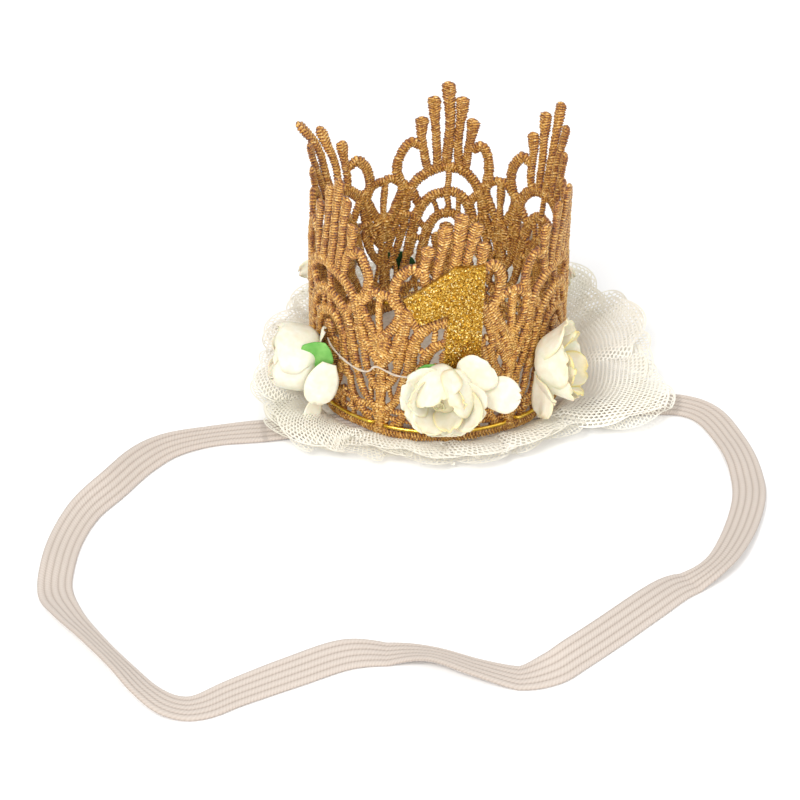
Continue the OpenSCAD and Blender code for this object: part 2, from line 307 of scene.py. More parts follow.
def only(obj: bpy.types.Object) -> bpy.types.Object:
    """Deselect everything, then select and activate one object.

    Args:
        obj: The object.

    Returns:
        The same object.
    """
    bpy.ops.object.select_all(action="DESELECT")
    obj.select_set(True)
    bpy.context.view_layer.objects.active = obj
    return obj


def apply_modifier(obj: bpy.types.Object, kind: str, **settings: object) -> None:
    """Add a modifier with its settings and apply it.

    Args:
        obj: The object that it changes.
        kind: The modifier's type.
        settings: Its properties by name.
    """
    only(obj)
    modifier = obj.modifiers.new(kind.title(), kind)
    for key, value in settings.items():
        setattr(modifier, key, value)
    bpy.ops.object.modifier_apply(modifier=modifier.name)


@dataclass(frozen=True)
class Finish:
    """A material: its name, colour and shader constants, and the pattern that mottles and roughens it.

    The pattern's grain is a width and its depth a height, both in millimetres.
    """

    name: str
    colour: str
    roughness: float
    metallic: float = 0.0
    sheen: float = 0.0
    specular: float = 0.5
    transmission: float = 0.0
    grain: float = 1.0
    detail: float = 2.0
    stops: tuple = ()
    bump: float = 0.0
    depth: float = 0.1

    @property
    def scale(self) -> float:
        """The scale of a texture with such grains, on coordinates in metres."""
        return 1 / (self.grain * MM)

    def material(self) -> bpy.types.Material:
        """Build the material once.

        Returns:
            The material.
        """
        if self.name in bpy.data.materials:
            return bpy.data.materials[self.name]
        made = bpy.data.materials.new(self.name)
        made.use_nodes = True
        made.diffuse_color = linear(self.colour)
        tree = made.node_tree
        shader = tree.nodes["Principled BSDF"]
        constants = {
            "Base Color": linear(self.colour),
            "Roughness": self.roughness,
            "Metallic": self.metallic,
            "Sheen Weight": self.sheen,
            "Specular IOR Level": self.specular,
            "Transmission Weight": self.transmission,
        }
        for key, value in constants.items():
            shader.inputs[key].default_value = value
        place = add_node(tree, "TexCoord").outputs["Object"]
        self.dress(tree, shader, place)
        return made

    def dress(self, tree: bpy.types.NodeTree, shader: bpy.types.Node, place: bpy.types.NodeSocket) -> None:
        """Let one noise pick the colour between the stops and raise the surface.

        Args:
            tree: The material's node tree.
            shader: Its Principled BSDF.
            place: The piece's own coordinates.
        """
        if not self.stops:
            return
        noise = add_node(tree, "TexNoise", {"Scale": self.scale, "Detail": self.detail}, {"Vector": place})
        self.show(tree, shader, noise.outputs["Fac"], noise.outputs["Fac"])

    def show(
        self,
        tree: bpy.types.NodeTree,
        shader: bpy.types.Node,
        tone: bpy.types.NodeSocket,
        height: bpy.types.NodeSocket | None,
    ) -> None:
        """Colour the shader by a tone and raise its surface by a height.

        Args:
            tree: The material's node tree.
            shader: Its Principled BSDF.
            tone: What picks the colour between the stops.
            height: What raises the surface, or None where it stays smooth.
        """
        colour = add_node(tree, "ValToRGB", {"stops": self.stops}, {"Fac": tone})
        tree.links.new(colour.outputs["Color"], shader.inputs["Base Color"])
        if height and self.bump:
            settings = {"Strength": self.bump, "Distance": self.depth * MM}
            bump = add_node(tree, "Bump", settings, {"Height": height})
            tree.links.new(bump.outputs["Normal"], shader.inputs["Normal"])


class EmbroideryThread(Finish):
    """Viscose embroidery thread, satin-stitched, each loop of it a little lighter or darker at random.

    Painted shade darkens the valleys between the loops and the cords' edges, painted highlights lighten the
    loops' crests, and painted glints in a fine grain stand in for loops that catch the light one by one;
    together they give the lace its grain of gold and brown. Patches of dye are given by their width in
    millimetres, and both patterns by their share of the tone.
    """

    patch = 6.25
    patch_share = 0.15
    glint_share = 0.28
    contrast = {"From Min": 0.36, "From Max": 0.64}

    def dress(self, tree: bpy.types.NodeTree, shader: bpy.types.Node, place: bpy.types.NodeSocket) -> None:
        """Colour each stitch by its shade, with painted shade in its valleys and painted highlight on its
        crest.

        Args:
            tree: The material's node tree.
            shader: Its Principled BSDF.
            place: The piece's own coordinates.
        """
        shade = add_node(tree, "Attribute", {"attribute_name": STITCH}).outputs["Fac"]
        settings = {"Scale": 1 / (self.patch * MM), "Detail": 3.0}
        patches = add_node(tree, "TexNoise", settings, {"Vector": place}).outputs["Fac"]
        settings = {"data_type": "FLOAT", 0: self.patch_share}
        mixed = add_node(tree, "Mix", settings, {2: shade, 3: patches}).outputs[0]
        # Painted glints: bright grains stand in for bundles of filaments that catch the light one by one.
        # They are drawn coarser than the filaments, and the same grains raise the bump.
        settings = {"Scale": self.scale, "Detail": self.detail}
        grains = add_node(tree, "TexNoise", settings, {"Vector": place}).outputs["Fac"]
        glints_and_bumps = add_node(tree, "MapRange", self.contrast, {"Value": grains}).outputs[0]
        settings = {"data_type": "FLOAT", 0: self.glint_share}
        tone = add_node(tree, "Mix", settings, {2: mixed, 3: glints_and_bumps}).outputs[0]
        self.show(tree, shader, tone, glints_and_bumps)


class RibbedElastic(Finish):
    """Knitted elastic with five ribs, each a row of small slanting loops.

    The loops, each a grain long, give the ribs a fine grain across, and painted shade darkens the grooves
    between the ribs. The loops' lean is in radians.
    """

    lean = 0.5
    loop_share = 0.25
    wave_length = math.tau / 20

    def dress(self, tree: bpy.types.NodeTree, shader: bpy.types.Node, place: bpy.types.NodeSocket) -> None:
        """Draw the loops by the strip's own length and width.

        Args:
            tree: The material's node tree.
            shader: Its Principled BSDF.
            place: The piece's own coordinates, which the strip has no need of.
        """
        along = add_node(tree, "Attribute", {"attribute_name": ALONG}).outputs["Fac"]
        across = add_node(tree, "Attribute", {"attribute_name": ACROSS}).outputs["Fac"]
        strip = add_node(tree, "CombineXYZ", links={"X": along, "Y": across}).outputs["Vector"]
        settings = {"Rotation": (0.0, 0.0, self.lean)}
        turned = add_node(tree, "Mapping", settings, {"Vector": strip}).outputs["Vector"]
        # The strip's coordinates are in millimetres. At scale 1 a wave of the texture is wave_length long.
        settings = {"Scale": self.wave_length / self.grain, "Distortion": 1.5, "Detail": self.detail}
        loops = add_node(tree, "TexWave", settings, {"Vector": turned}).outputs["Fac"]
        # Painted shade: the rib's height darkens the grooves and lightens the crests.
        groove_shade = add_node(tree, "Attribute", {"attribute_name": RIM}).outputs["Fac"]
        settings = {"data_type": "FLOAT", 0: self.loop_share}
        tone = add_node(tree, "Mix", settings, {2: groove_shade, 3: loops}).outputs[0]
        self.show(tree, shader, tone, loops)


class MulberryPaper(Finish):
    """Handmade mulberry paper, dyed ivory and pressed into petals.

    Long fibres show as a faint mottle, the cut rims of the petals are yellower, painted shade makes each
    petal yellower towards its foot deep in the cup, and a little light comes through.
    """

    rim_and_shade_yellow = "#E8D588"
    see_through = 0.15

    def dress(self, tree: bpy.types.NodeTree, shader: bpy.types.Node, place: bpy.types.NodeSocket) -> None:
        """Mottle the ivory, then mix in the yellow of the rims and of the painted shade deep in the cups.

        Args:
            tree: The material's node tree.
            shader: Its Principled BSDF.
            place: The piece's own coordinates.
        """
        super().dress(tree, shader, place)
        ivory = shader.inputs["Base Color"].links[0].from_socket
        rim = add_node(tree, "Attribute", {"attribute_name": RIM}).outputs["Fac"]
        settings = {"data_type": "RGBA", 7: linear(self.rim_and_shade_yellow)}
        mixed = add_node(tree, "Mix", settings, {0: rim, 6: ivory})
        tree.links.new(mixed.outputs[2], shader.inputs["Base Color"])
        shader.inputs["Subsurface Weight"].default_value = self.see_through
        shader.inputs["Subsurface Scale"].default_value = MM


class GlitterSheet(Finish):
    """Foam sheet coated with gold glitter: the bed of lacquer and fine glitter under the flakes."""

    def dress(self, tree: bpy.types.NodeTree, shader: bpy.types.Node, place: bpy.types.NodeSocket) -> None:
        """Give each grain its own gold and tilt.

        Args:
            tree: The material's node tree.
            shader: Its Principled BSDF.
            place: The piece's own coordinates.
        """
        grains = add_node(tree, "TexVoronoi", {"Scale": self.scale}, {"Vector": place}).outputs["Color"]
        tone = add_node(tree, "SeparateColor", links={"Color": grains}).outputs[0]
        self.show(tree, shader, tone, tone)


class GlitterFlake(Finish):
    """Glitter flakes of metallised film, each tilted its own way so that a few flash at once."""

    def dress(self, tree: bpy.types.NodeTree, shader: bpy.types.Node, place: bpy.types.NodeSocket) -> None:
        """Give each flake its own gold.

        Args:
            tree: The material's node tree.
            shader: Its Principled BSDF.
            place: The piece's own coordinates, which the flakes have no need of.
        """
        shade = add_node(tree, "Attribute", {"attribute_name": STITCH}).outputs["Fac"]
        self.show(tree, shader, shade, None)


# The darkest stops carry the thread's painted shade, the lightest its painted highlights and glints.
THREAD = EmbroideryThread(
    "satin_stitched_viscose_thread", "#C08436", 0.3, sheen=0.05, specular=0.7, grain=0.435, detail=1,
    bump=0.9, depth=0.2,
    stops=((0.05, "#3C1604"), (0.25, "#84460C"), (0.45, "#BC7C28"), (0.68, "#E8B250"), (0.92, "#FFE8AC")),
)
# Knotted nylon net, dyed ivory and stiffened: its threads are smooth, so layers of it turn milky.
NET = Finish(
    "stiffened_nylon_net", "#EFEBDC", 0.6, sheen=0.1, specular=0.4, grain=14.3,
    stops=((0.25, "#EFEBDC"), (0.8, "#FAF7EE")),
)
ELASTIC = RibbedElastic(
    "knitted_ribbed_elastic", "#E8DCD2", 0.85, sheen=0.2, specular=0.25, grain=0.698, bump=0.5, depth=0.15,
    stops=((0.0, "#A6998E"), (0.45, "#BFB2A7"), (1.0, "#CDC2B8")),
)
PAPER = MulberryPaper(
    "pressed_mulberry_paper", "#F6F3E4", 0.8, specular=0.25, grain=2.0, detail=5, bump=0.3,
    stops=((0.3, "#E2DCC6"), (0.6, "#EAE6D6"), (0.8, "#F0EDE2")),
)
# Dyed paper, cut and pressed into leaves: its fibres show as a faint mottle.
LEAF = Finish(
    "dyed_green_paper", "#57A043", 0.75, specular=0.3, grain=3.33, detail=4, bump=0.3,
    stops=((0.3, "#57A043"), (0.75, "#8CC46A")),
)
# The two leaves at the back take a darker copy of the green.
BACK_LEAF = replace(
    LEAF, name="dark_green_leaf_paper", colour="#1F4F30", roughness=0.7,
    stops=((0.3, "#1F4F30"), (0.75, "#3F7A4A")),
)
# Pressed felt, stiffened, in ivory: short fibres lie all ways and leave it matt.
FELT = Finish(
    "pressed_wool_felt", "#DDD8CA", 0.95, sheen=0.4, specular=0.15, grain=1.11, detail=6, bump=0.6, depth=0.3,
    stops=((0.3, "#CFC9BA"), (0.55, "#E2DDD0"), (0.8, "#EFEBE0")),
)
SHEET = GlitterSheet(
    "glitter_foam_sheet", "#C8942A", 0.4, metallic=0.75, grain=0.357, bump=0.8, depth=0.2,
    stops=((0.0, "#7E520A"), (0.4, "#AE7C1C"), (0.8, "#CE9C36"), (1.0, "#F0D070")),
)
FLAKE = GlitterFlake(
    "metallised_glitter_film", "#DCA83C", 0.22, metallic=1.0,
    stops=((0.0, "#9E6A12"), (0.5, "#D09C34"), (0.85, "#F0CC6C"), (1.0, "#FFF2C0")),
)
# Drawn brass wire, gold-lacquered: the lacquer lies a little thicker here and there.
WIRE = Finish(
    "lacquered_brass_wire", "#E6BE48", 0.22, metallic=1.0, grain=1.67, detail=3,
    stops=((0.3, "#D9A92C"), (0.7, "#F3D264")),
)
# Hot-melt glue drawn out into a string: milky, smooth and a little see-through.
GLUE = Finish(
    "hot_melt_glue", "#F4ECDF", 0.3, transmission=0.45, grain=2.5, stops=((0.3, "#E2D3BC"), (0.7, "#F4ECDF")),
)
FLOOR = Finish("matt_white_board", "#FEFEFE", 0.9, specular=0.1)


def dressed(obj: bpy.types.Object, finish: Finish, nodes: tuple = ()) -> bpy.types.Object:
    """Give a piece its finish, its body and the nodes it stands for.

    Args:
        obj: The finished piece.
        finish: Its material.
        nodes: The CAD nodes that the piece replaces.

    Returns:
        The piece.
    """
    obj.data.materials.clear()
    obj.data.materials.append(finish.material())
    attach(obj, "root")
    if nodes:
        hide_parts(*nodes)
    LOG.info("%s: %d faces", obj.name, len(obj.data.polygons))
    return obj


@dataclass(frozen=True)
class Crown:
    """Sizes that several pieces share, as the part's source has them.

    Each lace point leans outward round its middle, and one of them curls over at its tip.
    """

    radius: float = 32.5
    wall: float = 1.6
    height: float = 67.0
    foot_z: float = 2.2
    base_r: float = 34.0
    base_t: float = 2.0
    gap: float = 0.2
    lean_start: float = 0.55
    lean_power: float = 1.4
    lean_half: float = 30.0
    curled: float = 146.0
    curl: float = 2.7
    curl_start: float = 0.76
    curl_run: float = 0.13
    curl_half: float = 6.0
    # The furthest that a pattern reaches sideways, as a share of the wall's radius.
    side_most: float = 0.98
    # Azimuth of each lace point, and its lean, sway to its right and sink as shares of the height.
    points: tuple = (
        (-86.5, 0.01, 0.05, 0.035),
        (-27.5, 0.04, 0.02, 0.06),
        (32.5, 0.09, 0.015, 0.01),
        (85.0, 0.0, -0.005, 0.0),
        (146.0, 0.12, 0.025, 0.09),
        (212.5, -0.03, 0.05, 0.01),
    )

    @property
    def wall_r(self) -> float:
        """Radius of the middle of the lace wall."""
        return self.radius - self.wall / 2

    def bend(self, v: np.ndarray) -> np.ndarray:
        """Share of a point's lean, sway and sink that is reached at a share v of the height."""
        return (np.maximum(0, v - self.lean_start) / (1 - self.lean_start)) ** self.lean_power

    def lean(self, az: np.ndarray, v: np.ndarray) -> np.ndarray:
        """Tell how far the wall leans outward.

        Args:
            az: Azimuths in degrees.
            v: Shares of the height.

        Returns:
            The distances that the leaning adds.
        """
        total = np.zeros(np.broadcast(az, v).shape)
        for at, share, _, _ in self.points:
            d = apart(az, at) / self.lean_half
            total += np.where(d < 1, share * (1 + np.cos(math.pi * d)) / 2, 0)
        curl = self.curl * (np.maximum(0, v - self.curl_start) / self.curl_run) ** 2
        near = apart(az, self.curled) < self.curl_half
        return self.height * self.bend(v) * total + np.where(near, curl, 0)

    def half_gap(self, i: int, side: int) -> float:
        """Half the angle between a lace point and its neighbour on one side, in degrees."""
        j = (i + side) % len(self.points)
        return apart(self.points[j][0], self.points[i][0]) / 2

    def flat(self, i: int, side: int, stops: np.ndarray) -> np.ndarray:
        """Place stops of a cord on the flat pattern of a lace point.

        Args:
            i: The point's row.
            side: 1 for its right half and -1 for its left.
            stops: Rows of a share of the half pitch and a share of the height.

        Returns:
            Rows of sideways distance and height above the foot.
        """
        share, v = stops[:, 0], stops[:, 1]
        _, _, sway, sink = self.points[i]
        x = side * self.wall_r * np.sin(np.radians(np.minimum(share * self.half_gap(i, side), 89)))
        bend = self.bend(v)
        return np.stack([x + sway * self.height * bend, (v - sink * bend) * self.height], 1)

    def on_wall(self, i: int, flat: np.ndarray, stand: float = 0.0) -> np.ndarray:
        """Carry places of a flat pattern onto the leaning wall.

        Args:
            i: The lace point's row.
            flat: Rows of sideways distance and height above the foot.
            stand: How far in front of the wall's middle they are.

        Returns:
            Rows of x, y and z.
        """
        x, z = flat[:, 0], flat[:, 1]
        v = z / self.height
        aside = np.clip(x / self.wall_r, -self.side_most, self.side_most)
        az = self.points[i][0] + np.degrees(np.arcsin(aside))
        r = self.wall_r + self.lean(az, v) + stand
        return np.stack([r * np.cos(np.radians(az)), r * np.sin(np.radians(az)), z + self.foot_z], 1)

    def outward(self, i: int, flat: np.ndarray) -> np.ndarray:
        """Tell where the leaning wall faces.

        Args:
            i: The lace point's row.
            flat: Rows of sideways distance and height above the foot.

        Returns:
            A direction for each row.
        """
        step = 0.5
        here = self.on_wall(i, flat)
        right = self.on_wall(i, flat + [step, 0]) - here
        up = self.on_wall(i, flat + [0, step]) - here
        return unit(np.cross(right, up))


CROWN = Crown()


@dataclass(frozen=True)
class Cord:
    """A satin-stitched cord: width as a share of the full one, stops, stand-off, swollen head and slant.

    Each stop is a share of the half pitch between two lace points and a share of the height.
    """

    width: float
    stops: tuple
    stand: float = 0.0
    head: float = 1.0
    slant: float = 0.3


@dataclass
class LaceCrown:
    """The pierced lace: satin-stitched cords along the pattern of six points, and a ladder at the foot."""

    cord_w: float = 3.0
    cord_t: float = 1.9
    stitch: float = 0.72
    rings: int = 4
    around: int = 10
    # A stitch's rings, from one valley to the next: shares of its width and height, and its tone: painted
    # shade in the valley and a painted highlight on the crest.
    ring_w: tuple = (0.78, 0.96, 1.0, 0.93)
    ring_h: tuple = (0.58, 0.93, 1.0, 0.88)
    ring_painted_light: tuple = (-0.65, 0.1, 0.32, -0.1)
    # The middle tone, and how much painted shade darkens a cord's edges.
    tone: float = 0.55
    painted_edge_shade: float = 0.55
    # Cords wider than this share are plaited, with loops that lean this much.
    plait_from: float = 0.65
    plait_lean: float = 0.8
    # Where a cord starts to swell to its head, and over what share of its length.
    head_start: float = 0.55
    head_run: float = 0.35
    uneven_slant: float = 0.12
    # Least share and range of a loop's width and height, and the range of its tone.
    loop_w: tuple = (0.9, 0.18)
    loop_h: tuple = (0.86, 0.22)
    loop_tone: float = 0.5
    # How much of a cord's thickness goes with its width.
    flatten: float = 0.25
    fingers: tuple = (
        Cord(1.0, ((0, 0.66), (0, 0.8), (0, 0.977)), 0.15, 1.3, 0.55),
        Cord(0.86, ((0.18, 0.65), (0.2, 0.8), (0.215, 0.925)), 0.0, 1.5, 0.55),
        Cord(0.86, ((0.34, 0.64), (0.385, 0.74), (0.41, 0.835)), 0.0, 1.5, 0.55),
        Cord(1.0, ((0.47, 0.73), (0.6, 0.745), (0.74, 0.69), (0.77, 0.62), (0.7, 0.56)), 0.0, 1.0, 0.15),
    )
    arches: tuple = (
        Cord(
            1.1, ((0, 0.635), (0.22, 0.627), (0.42, 0.595), (0.57, 0.54), (0.65, 0.47), (0.7, 0.4)),
            0.2, 1.0, 0.15,
        ),
        Cord(0.6, ((0, 0.53), (0, 0.62)), -0.2),
        Cord(
            1.1, ((0, 0.525), (0.22, 0.51), (0.39, 0.465), (0.49, 0.4), (0.55, 0.32), (0.6, 0.26)),
            0.15, 1.0, 0.15,
        ),
        Cord(0.9, ((0.39, 0.465), (0.57, 0.54)), -0.1),
        Cord(1.0, ((0, 0.435), (0.17, 0.42), (0.29, 0.37), (0.35, 0.3), (0.4, 0.22)), 0.1, 1.0, 0.15),
        Cord(0.6, ((0, 0.44), (0, 0.52)), -0.2),
        Cord(0.5, ((0.17, 0.42), (0.22, 0.51)), -0.2),
        Cord(0.6, ((0.31, 0.36), (0.47, 0.41)), -0.2),
        Cord(0.6, ((0.35, 0.3), (0.55, 0.34)), -0.2),
        Cord(0.6, ((0.52, 0.42), (0.68, 0.44)), -0.2),
    )
    fans: tuple = (
        Cord(1.15, ((0, 0.03), (0, 0.2), (0, 0.37)), 0.1, 1.25, 0.45),
        Cord(0.95, ((0.04, 0.12), (0.15, 0.32)), 0.0, 1.25, 0.45),
        Cord(0.95, ((0.06, 0.1), (0.28, 0.23)), 0.1, 1.15, 0.45),
        Cord(0.85, ((0.1, 0.08), (0.34, 0.13)), 0.0, 1.0, 0.45),
        Cord(0.6, ((0.17, 0.11), (0.17, 0.04)), -0.2),
    )
    valleys: tuple = (
        Cord(0.9, ((0.7, 0.56), (0.82, 0.595), (0.93, 0.605), (1, 0.6)), 0.0, 1.0, 0.15),
        Cord(0.62, ((1, 0.6), (1, 0.42)), 0.1, 1.0, 0.5),
        Cord(1.0, ((0.67, 0.56), (0.77, 0.49), (0.88, 0.44), (1, 0.42)), 0.15, 1.0, 0.4),
        Cord(1.6, ((0.95, 0.41), (1, 0.36)), -0.05),
        Cord(0.8, ((0.72, 0.44), (0.84, 0.36), (1, 0.29)), 0.1, 1.0, 0.5),
        Cord(0.8, ((0.66, 0.39), (0.8, 0.27), (1, 0.19)), 0.0, 1.0, 0.5),
        Cord(0.8, ((0.59, 0.28), (0.74, 0.17), (1, 0.09)), 0.1, 1.0, 0.5),
        Cord(0.78, ((0.43, 0.22), (0.56, 0.12), (0.8, 0.05)), 0.0, 1.0, 0.5),
        Cord(0.42, ((0.8, 0.38), (0.75, 0.31)), -0.4),
        Cord(0.42, ((0.92, 0.33), (0.88, 0.24)), -0.4),
        Cord(0.42, ((0.86, 0.23), (0.82, 0.15)), -0.4),
        Cord(0.95, ((1, 0.3), (1, 0.03)), 0.2, 1.0, 0.5),
    )
    foot: tuple = (
        Cord(0.95, ((0, 0.02), (0.35, 0.02), (0.7, 0.02), (1.04, 0.02)), 0.0, 1.0, 0.45),
        Cord(0.55, ((0, 0.115), (0.35, 0.115), (0.7, 0.115), (1.04, 0.115)), -0.3),
        Cord(0.45, ((0, 0.072), (0.35, 0.072), (0.7, 0.072), (1.04, 0.072)), -0.45),
    )
    bars: int = 5
    bar: Cord = Cord(0.42, ((0, 0.025), (0, 0.11)), -0.25)
    # How far a cord strays from the pattern, and in how many half waves.
    stray: float = 0.3
    stray_waves: tuple = (0.8, 2.6)
    random: np.random.Generator = field(default_factory=lambda: np.random.default_rng(SEED))

    def route(self, i: int, side: int, cord: Cord) -> np.ndarray:
        """Draw a cord's middle line on the flat pattern.

        Args:
            i: The lace point's row.
            side: 1 for its right half and -1 for its left.
            cord: The cord.

        Returns:
            Rows of sideways distance and height above the foot.
        """
        stops = np.array(cord.stops, float)
        line = CROWN.flat(i, side, curve_through(stops, 8) if len(stops) > 2 else stops)
        ends = directions(line)[[0, -1]] * cord.width * self.cord_w / 2
        line = evenly(np.vstack([line[0] - ends[0], line, line[-1] + ends[1]]), self.stitch / self.rings)
        # No two cords of real lace run quite alike: each strays a little from the pattern.
        waves = np.linspace(0, math.pi, len(line))[:, None] * self.random.uniform(*self.stray_waves, (1, 2))
        return line + self.stray * np.sin(waves + self.random.uniform(0, 2 * math.pi, (1, 2)))

    def satin(self, parts: MeshParts, i: int, side: int, cord: Cord) -> float:
        """Lay one cord of stitches on the wall.

        Args:
            parts: The mesh that the cord joins.
            i: The lace point's row.
            side: 1 for its right half and -1 for its left.
            cord: The cord.

        Returns:
            The cord's length.
        """
        width = cord.width * self.cord_w
        thick = self.cord_t * (1 - self.flatten + self.flatten * cord.width)
        line = self.route(i, side, cord)
        centres = CROWN.on_wall(i, line, cord.stand)
        n = len(centres)
        along = directions(centres)
        out, right = squared(CROWN.outward(i, line), along)
        stitches = n // self.rings + 1
        which = np.arange(n) // self.rings
        run = np.arange(n) * self.stitch / self.rings
        end = np.minimum(run, run[-1] - run)
        round_end = np.sqrt(np.clip(1 - (1 - np.minimum(end / (width / 2), 1)) ** 2, 0.05, 1))
        slant = cord.slant + self.random.uniform(-self.uneven_slant, self.uneven_slant, stitches)[which]
        slant = slant * np.clip((run[-1] - run) / width - 0.2, 0, 1)
        head = 1 + (cord.head - 1) * eased((run / run[-1] - self.head_start) / self.head_run)
        turn = np.linspace(0, 2 * math.pi, self.around, endpoint=False)
        # The loops of a wide cord's right half lie half a stitch further along than those of its left.
        plaited = cord.width > self.plait_from
        half = (np.cos(turn) > 0.05) & plaited
        loop, ring = np.divmod(np.arange(n)[:, None] + half[None] * self.rings // 2, self.rings)
        chance = self.random.uniform(0, 1, (3, 2, stitches + 2))
        side_row = half.astype(int)[None] + np.zeros_like(loop)
        spread = np.array(self.ring_w)[ring] * (self.loop_w[0] + self.loop_w[1] * chance[0][side_row, loop])
        rise = np.array(self.ring_h)[ring] * (self.loop_h[0] + self.loop_h[1] * chance[1][side_row, loop])
        side_off = np.cos(turn)[None] * (width / 2 * round_end * head)[:, None] * spread
        out_off = np.sin(turn)[None] * (thick / 2 * round_end)[:, None] * rise
        # The two halves of a wide cord lean against each other, as in a plait.
        lean = self.plait_lean * np.abs(side_off) if plaited else side_off * side
        across = (
            side_off[..., None] * right[:, None]
            + out_off[..., None] * out[:, None]
            + (lean * slant[:, None])[..., None] * along[:, None]
        )
        # Painted shade in valleys and along the edges, painted highlights on crests, a random tone per loop.
        tone = np.array(self.ring_painted_light)[ring] + self.tone
        tone = tone + self.loop_tone * (chance[2][side_row, loop] - 0.5)
        tone = np.clip(tone - self.painted_edge_shade * np.abs(np.cos(turn))[None] ** 4, 0, 1)
        parts.sweep(centres, across, False, **{STITCH: tone})
        return run[-1]

    def build(self) -> list:
        """Make the lace as one piece for each of its points.

        Returns:
            The pieces.
        """
        pieces = []
        for i in range(len(CROWN.points)):
            parts, total = MeshParts(), 0.0
            for side in (1, -1):
                for cord in self.fingers + self.arches + self.fans + self.valleys + self.foot:
                    if side < 0 and all(share == 0 for share, _ in cord.stops):
                        continue
                    total += self.satin(parts, i, side, cord)
                for k in range(self.bars):
                    share = (k + 0.5) / self.bars
                    bar = replace(self.bar, stops=tuple((share, v) for _, v in self.bar.stops))
                    total += self.satin(parts, i, side, bar)
            nodes = ("lace_crown",) if i == 0 else ()
            pieces.append(dressed(parts.piece(f"lace_point_{i + 1}"), THREAD, nodes))
            LOG.info("lace point %d: %.0f mm of cord", i + 1, total)
        return pieces


@dataclass
class FootWire:
    """The gold wire woven through the foot of the lace, inside it at each point and valley.

    The dip is the half width in degrees of each stretch that runs inside.
    """

    rise: float = 3.8
    diameter: float = 1.0
    outside: float = 33.2
    inside: float = 30.2
    dip: float = 3.2

    def build(self) -> bpy.types.Object:
        """Bend a ring of wire in behind each point's middle and each valley.

        Returns:
            The wire.
        """
        wire = primitive(
            "torus",
            major_segments=480,
            minor_segments=12,
            major_radius=self.outside * MM,
            minor_radius=self.diameter / 2 * MM,
            location=(0, 0, (CROWN.foot_z + self.rise) * MM),
        )
        wire.name = "woven_gold_wire"
        bpy.ops.object.transform_apply(location=True, rotation=True, scale=True)
        middles = [row[0] for row in CROWN.points]
        middles += [row[0] + CROWN.half_gap(i, 1) for i, row in enumerate(CROWN.points)]
        for vertex in wire.data.vertices:
            az = math.degrees(math.atan2(vertex.co.y, vertex.co.x))
            near = min(apart(az, m) for m in middles)
            share = max(0.0, 1 - (near / self.dip) ** 2) ** 2 if near < self.dip else 0.0
            shrink = 1 - (self.outside - self.inside) * share / self.outside
            vertex.co.x *= shrink
            vertex.co.y *= shrink
        wire.data.shade_smooth()
        return dressed(wire, WIRE, ("gold_wire",))


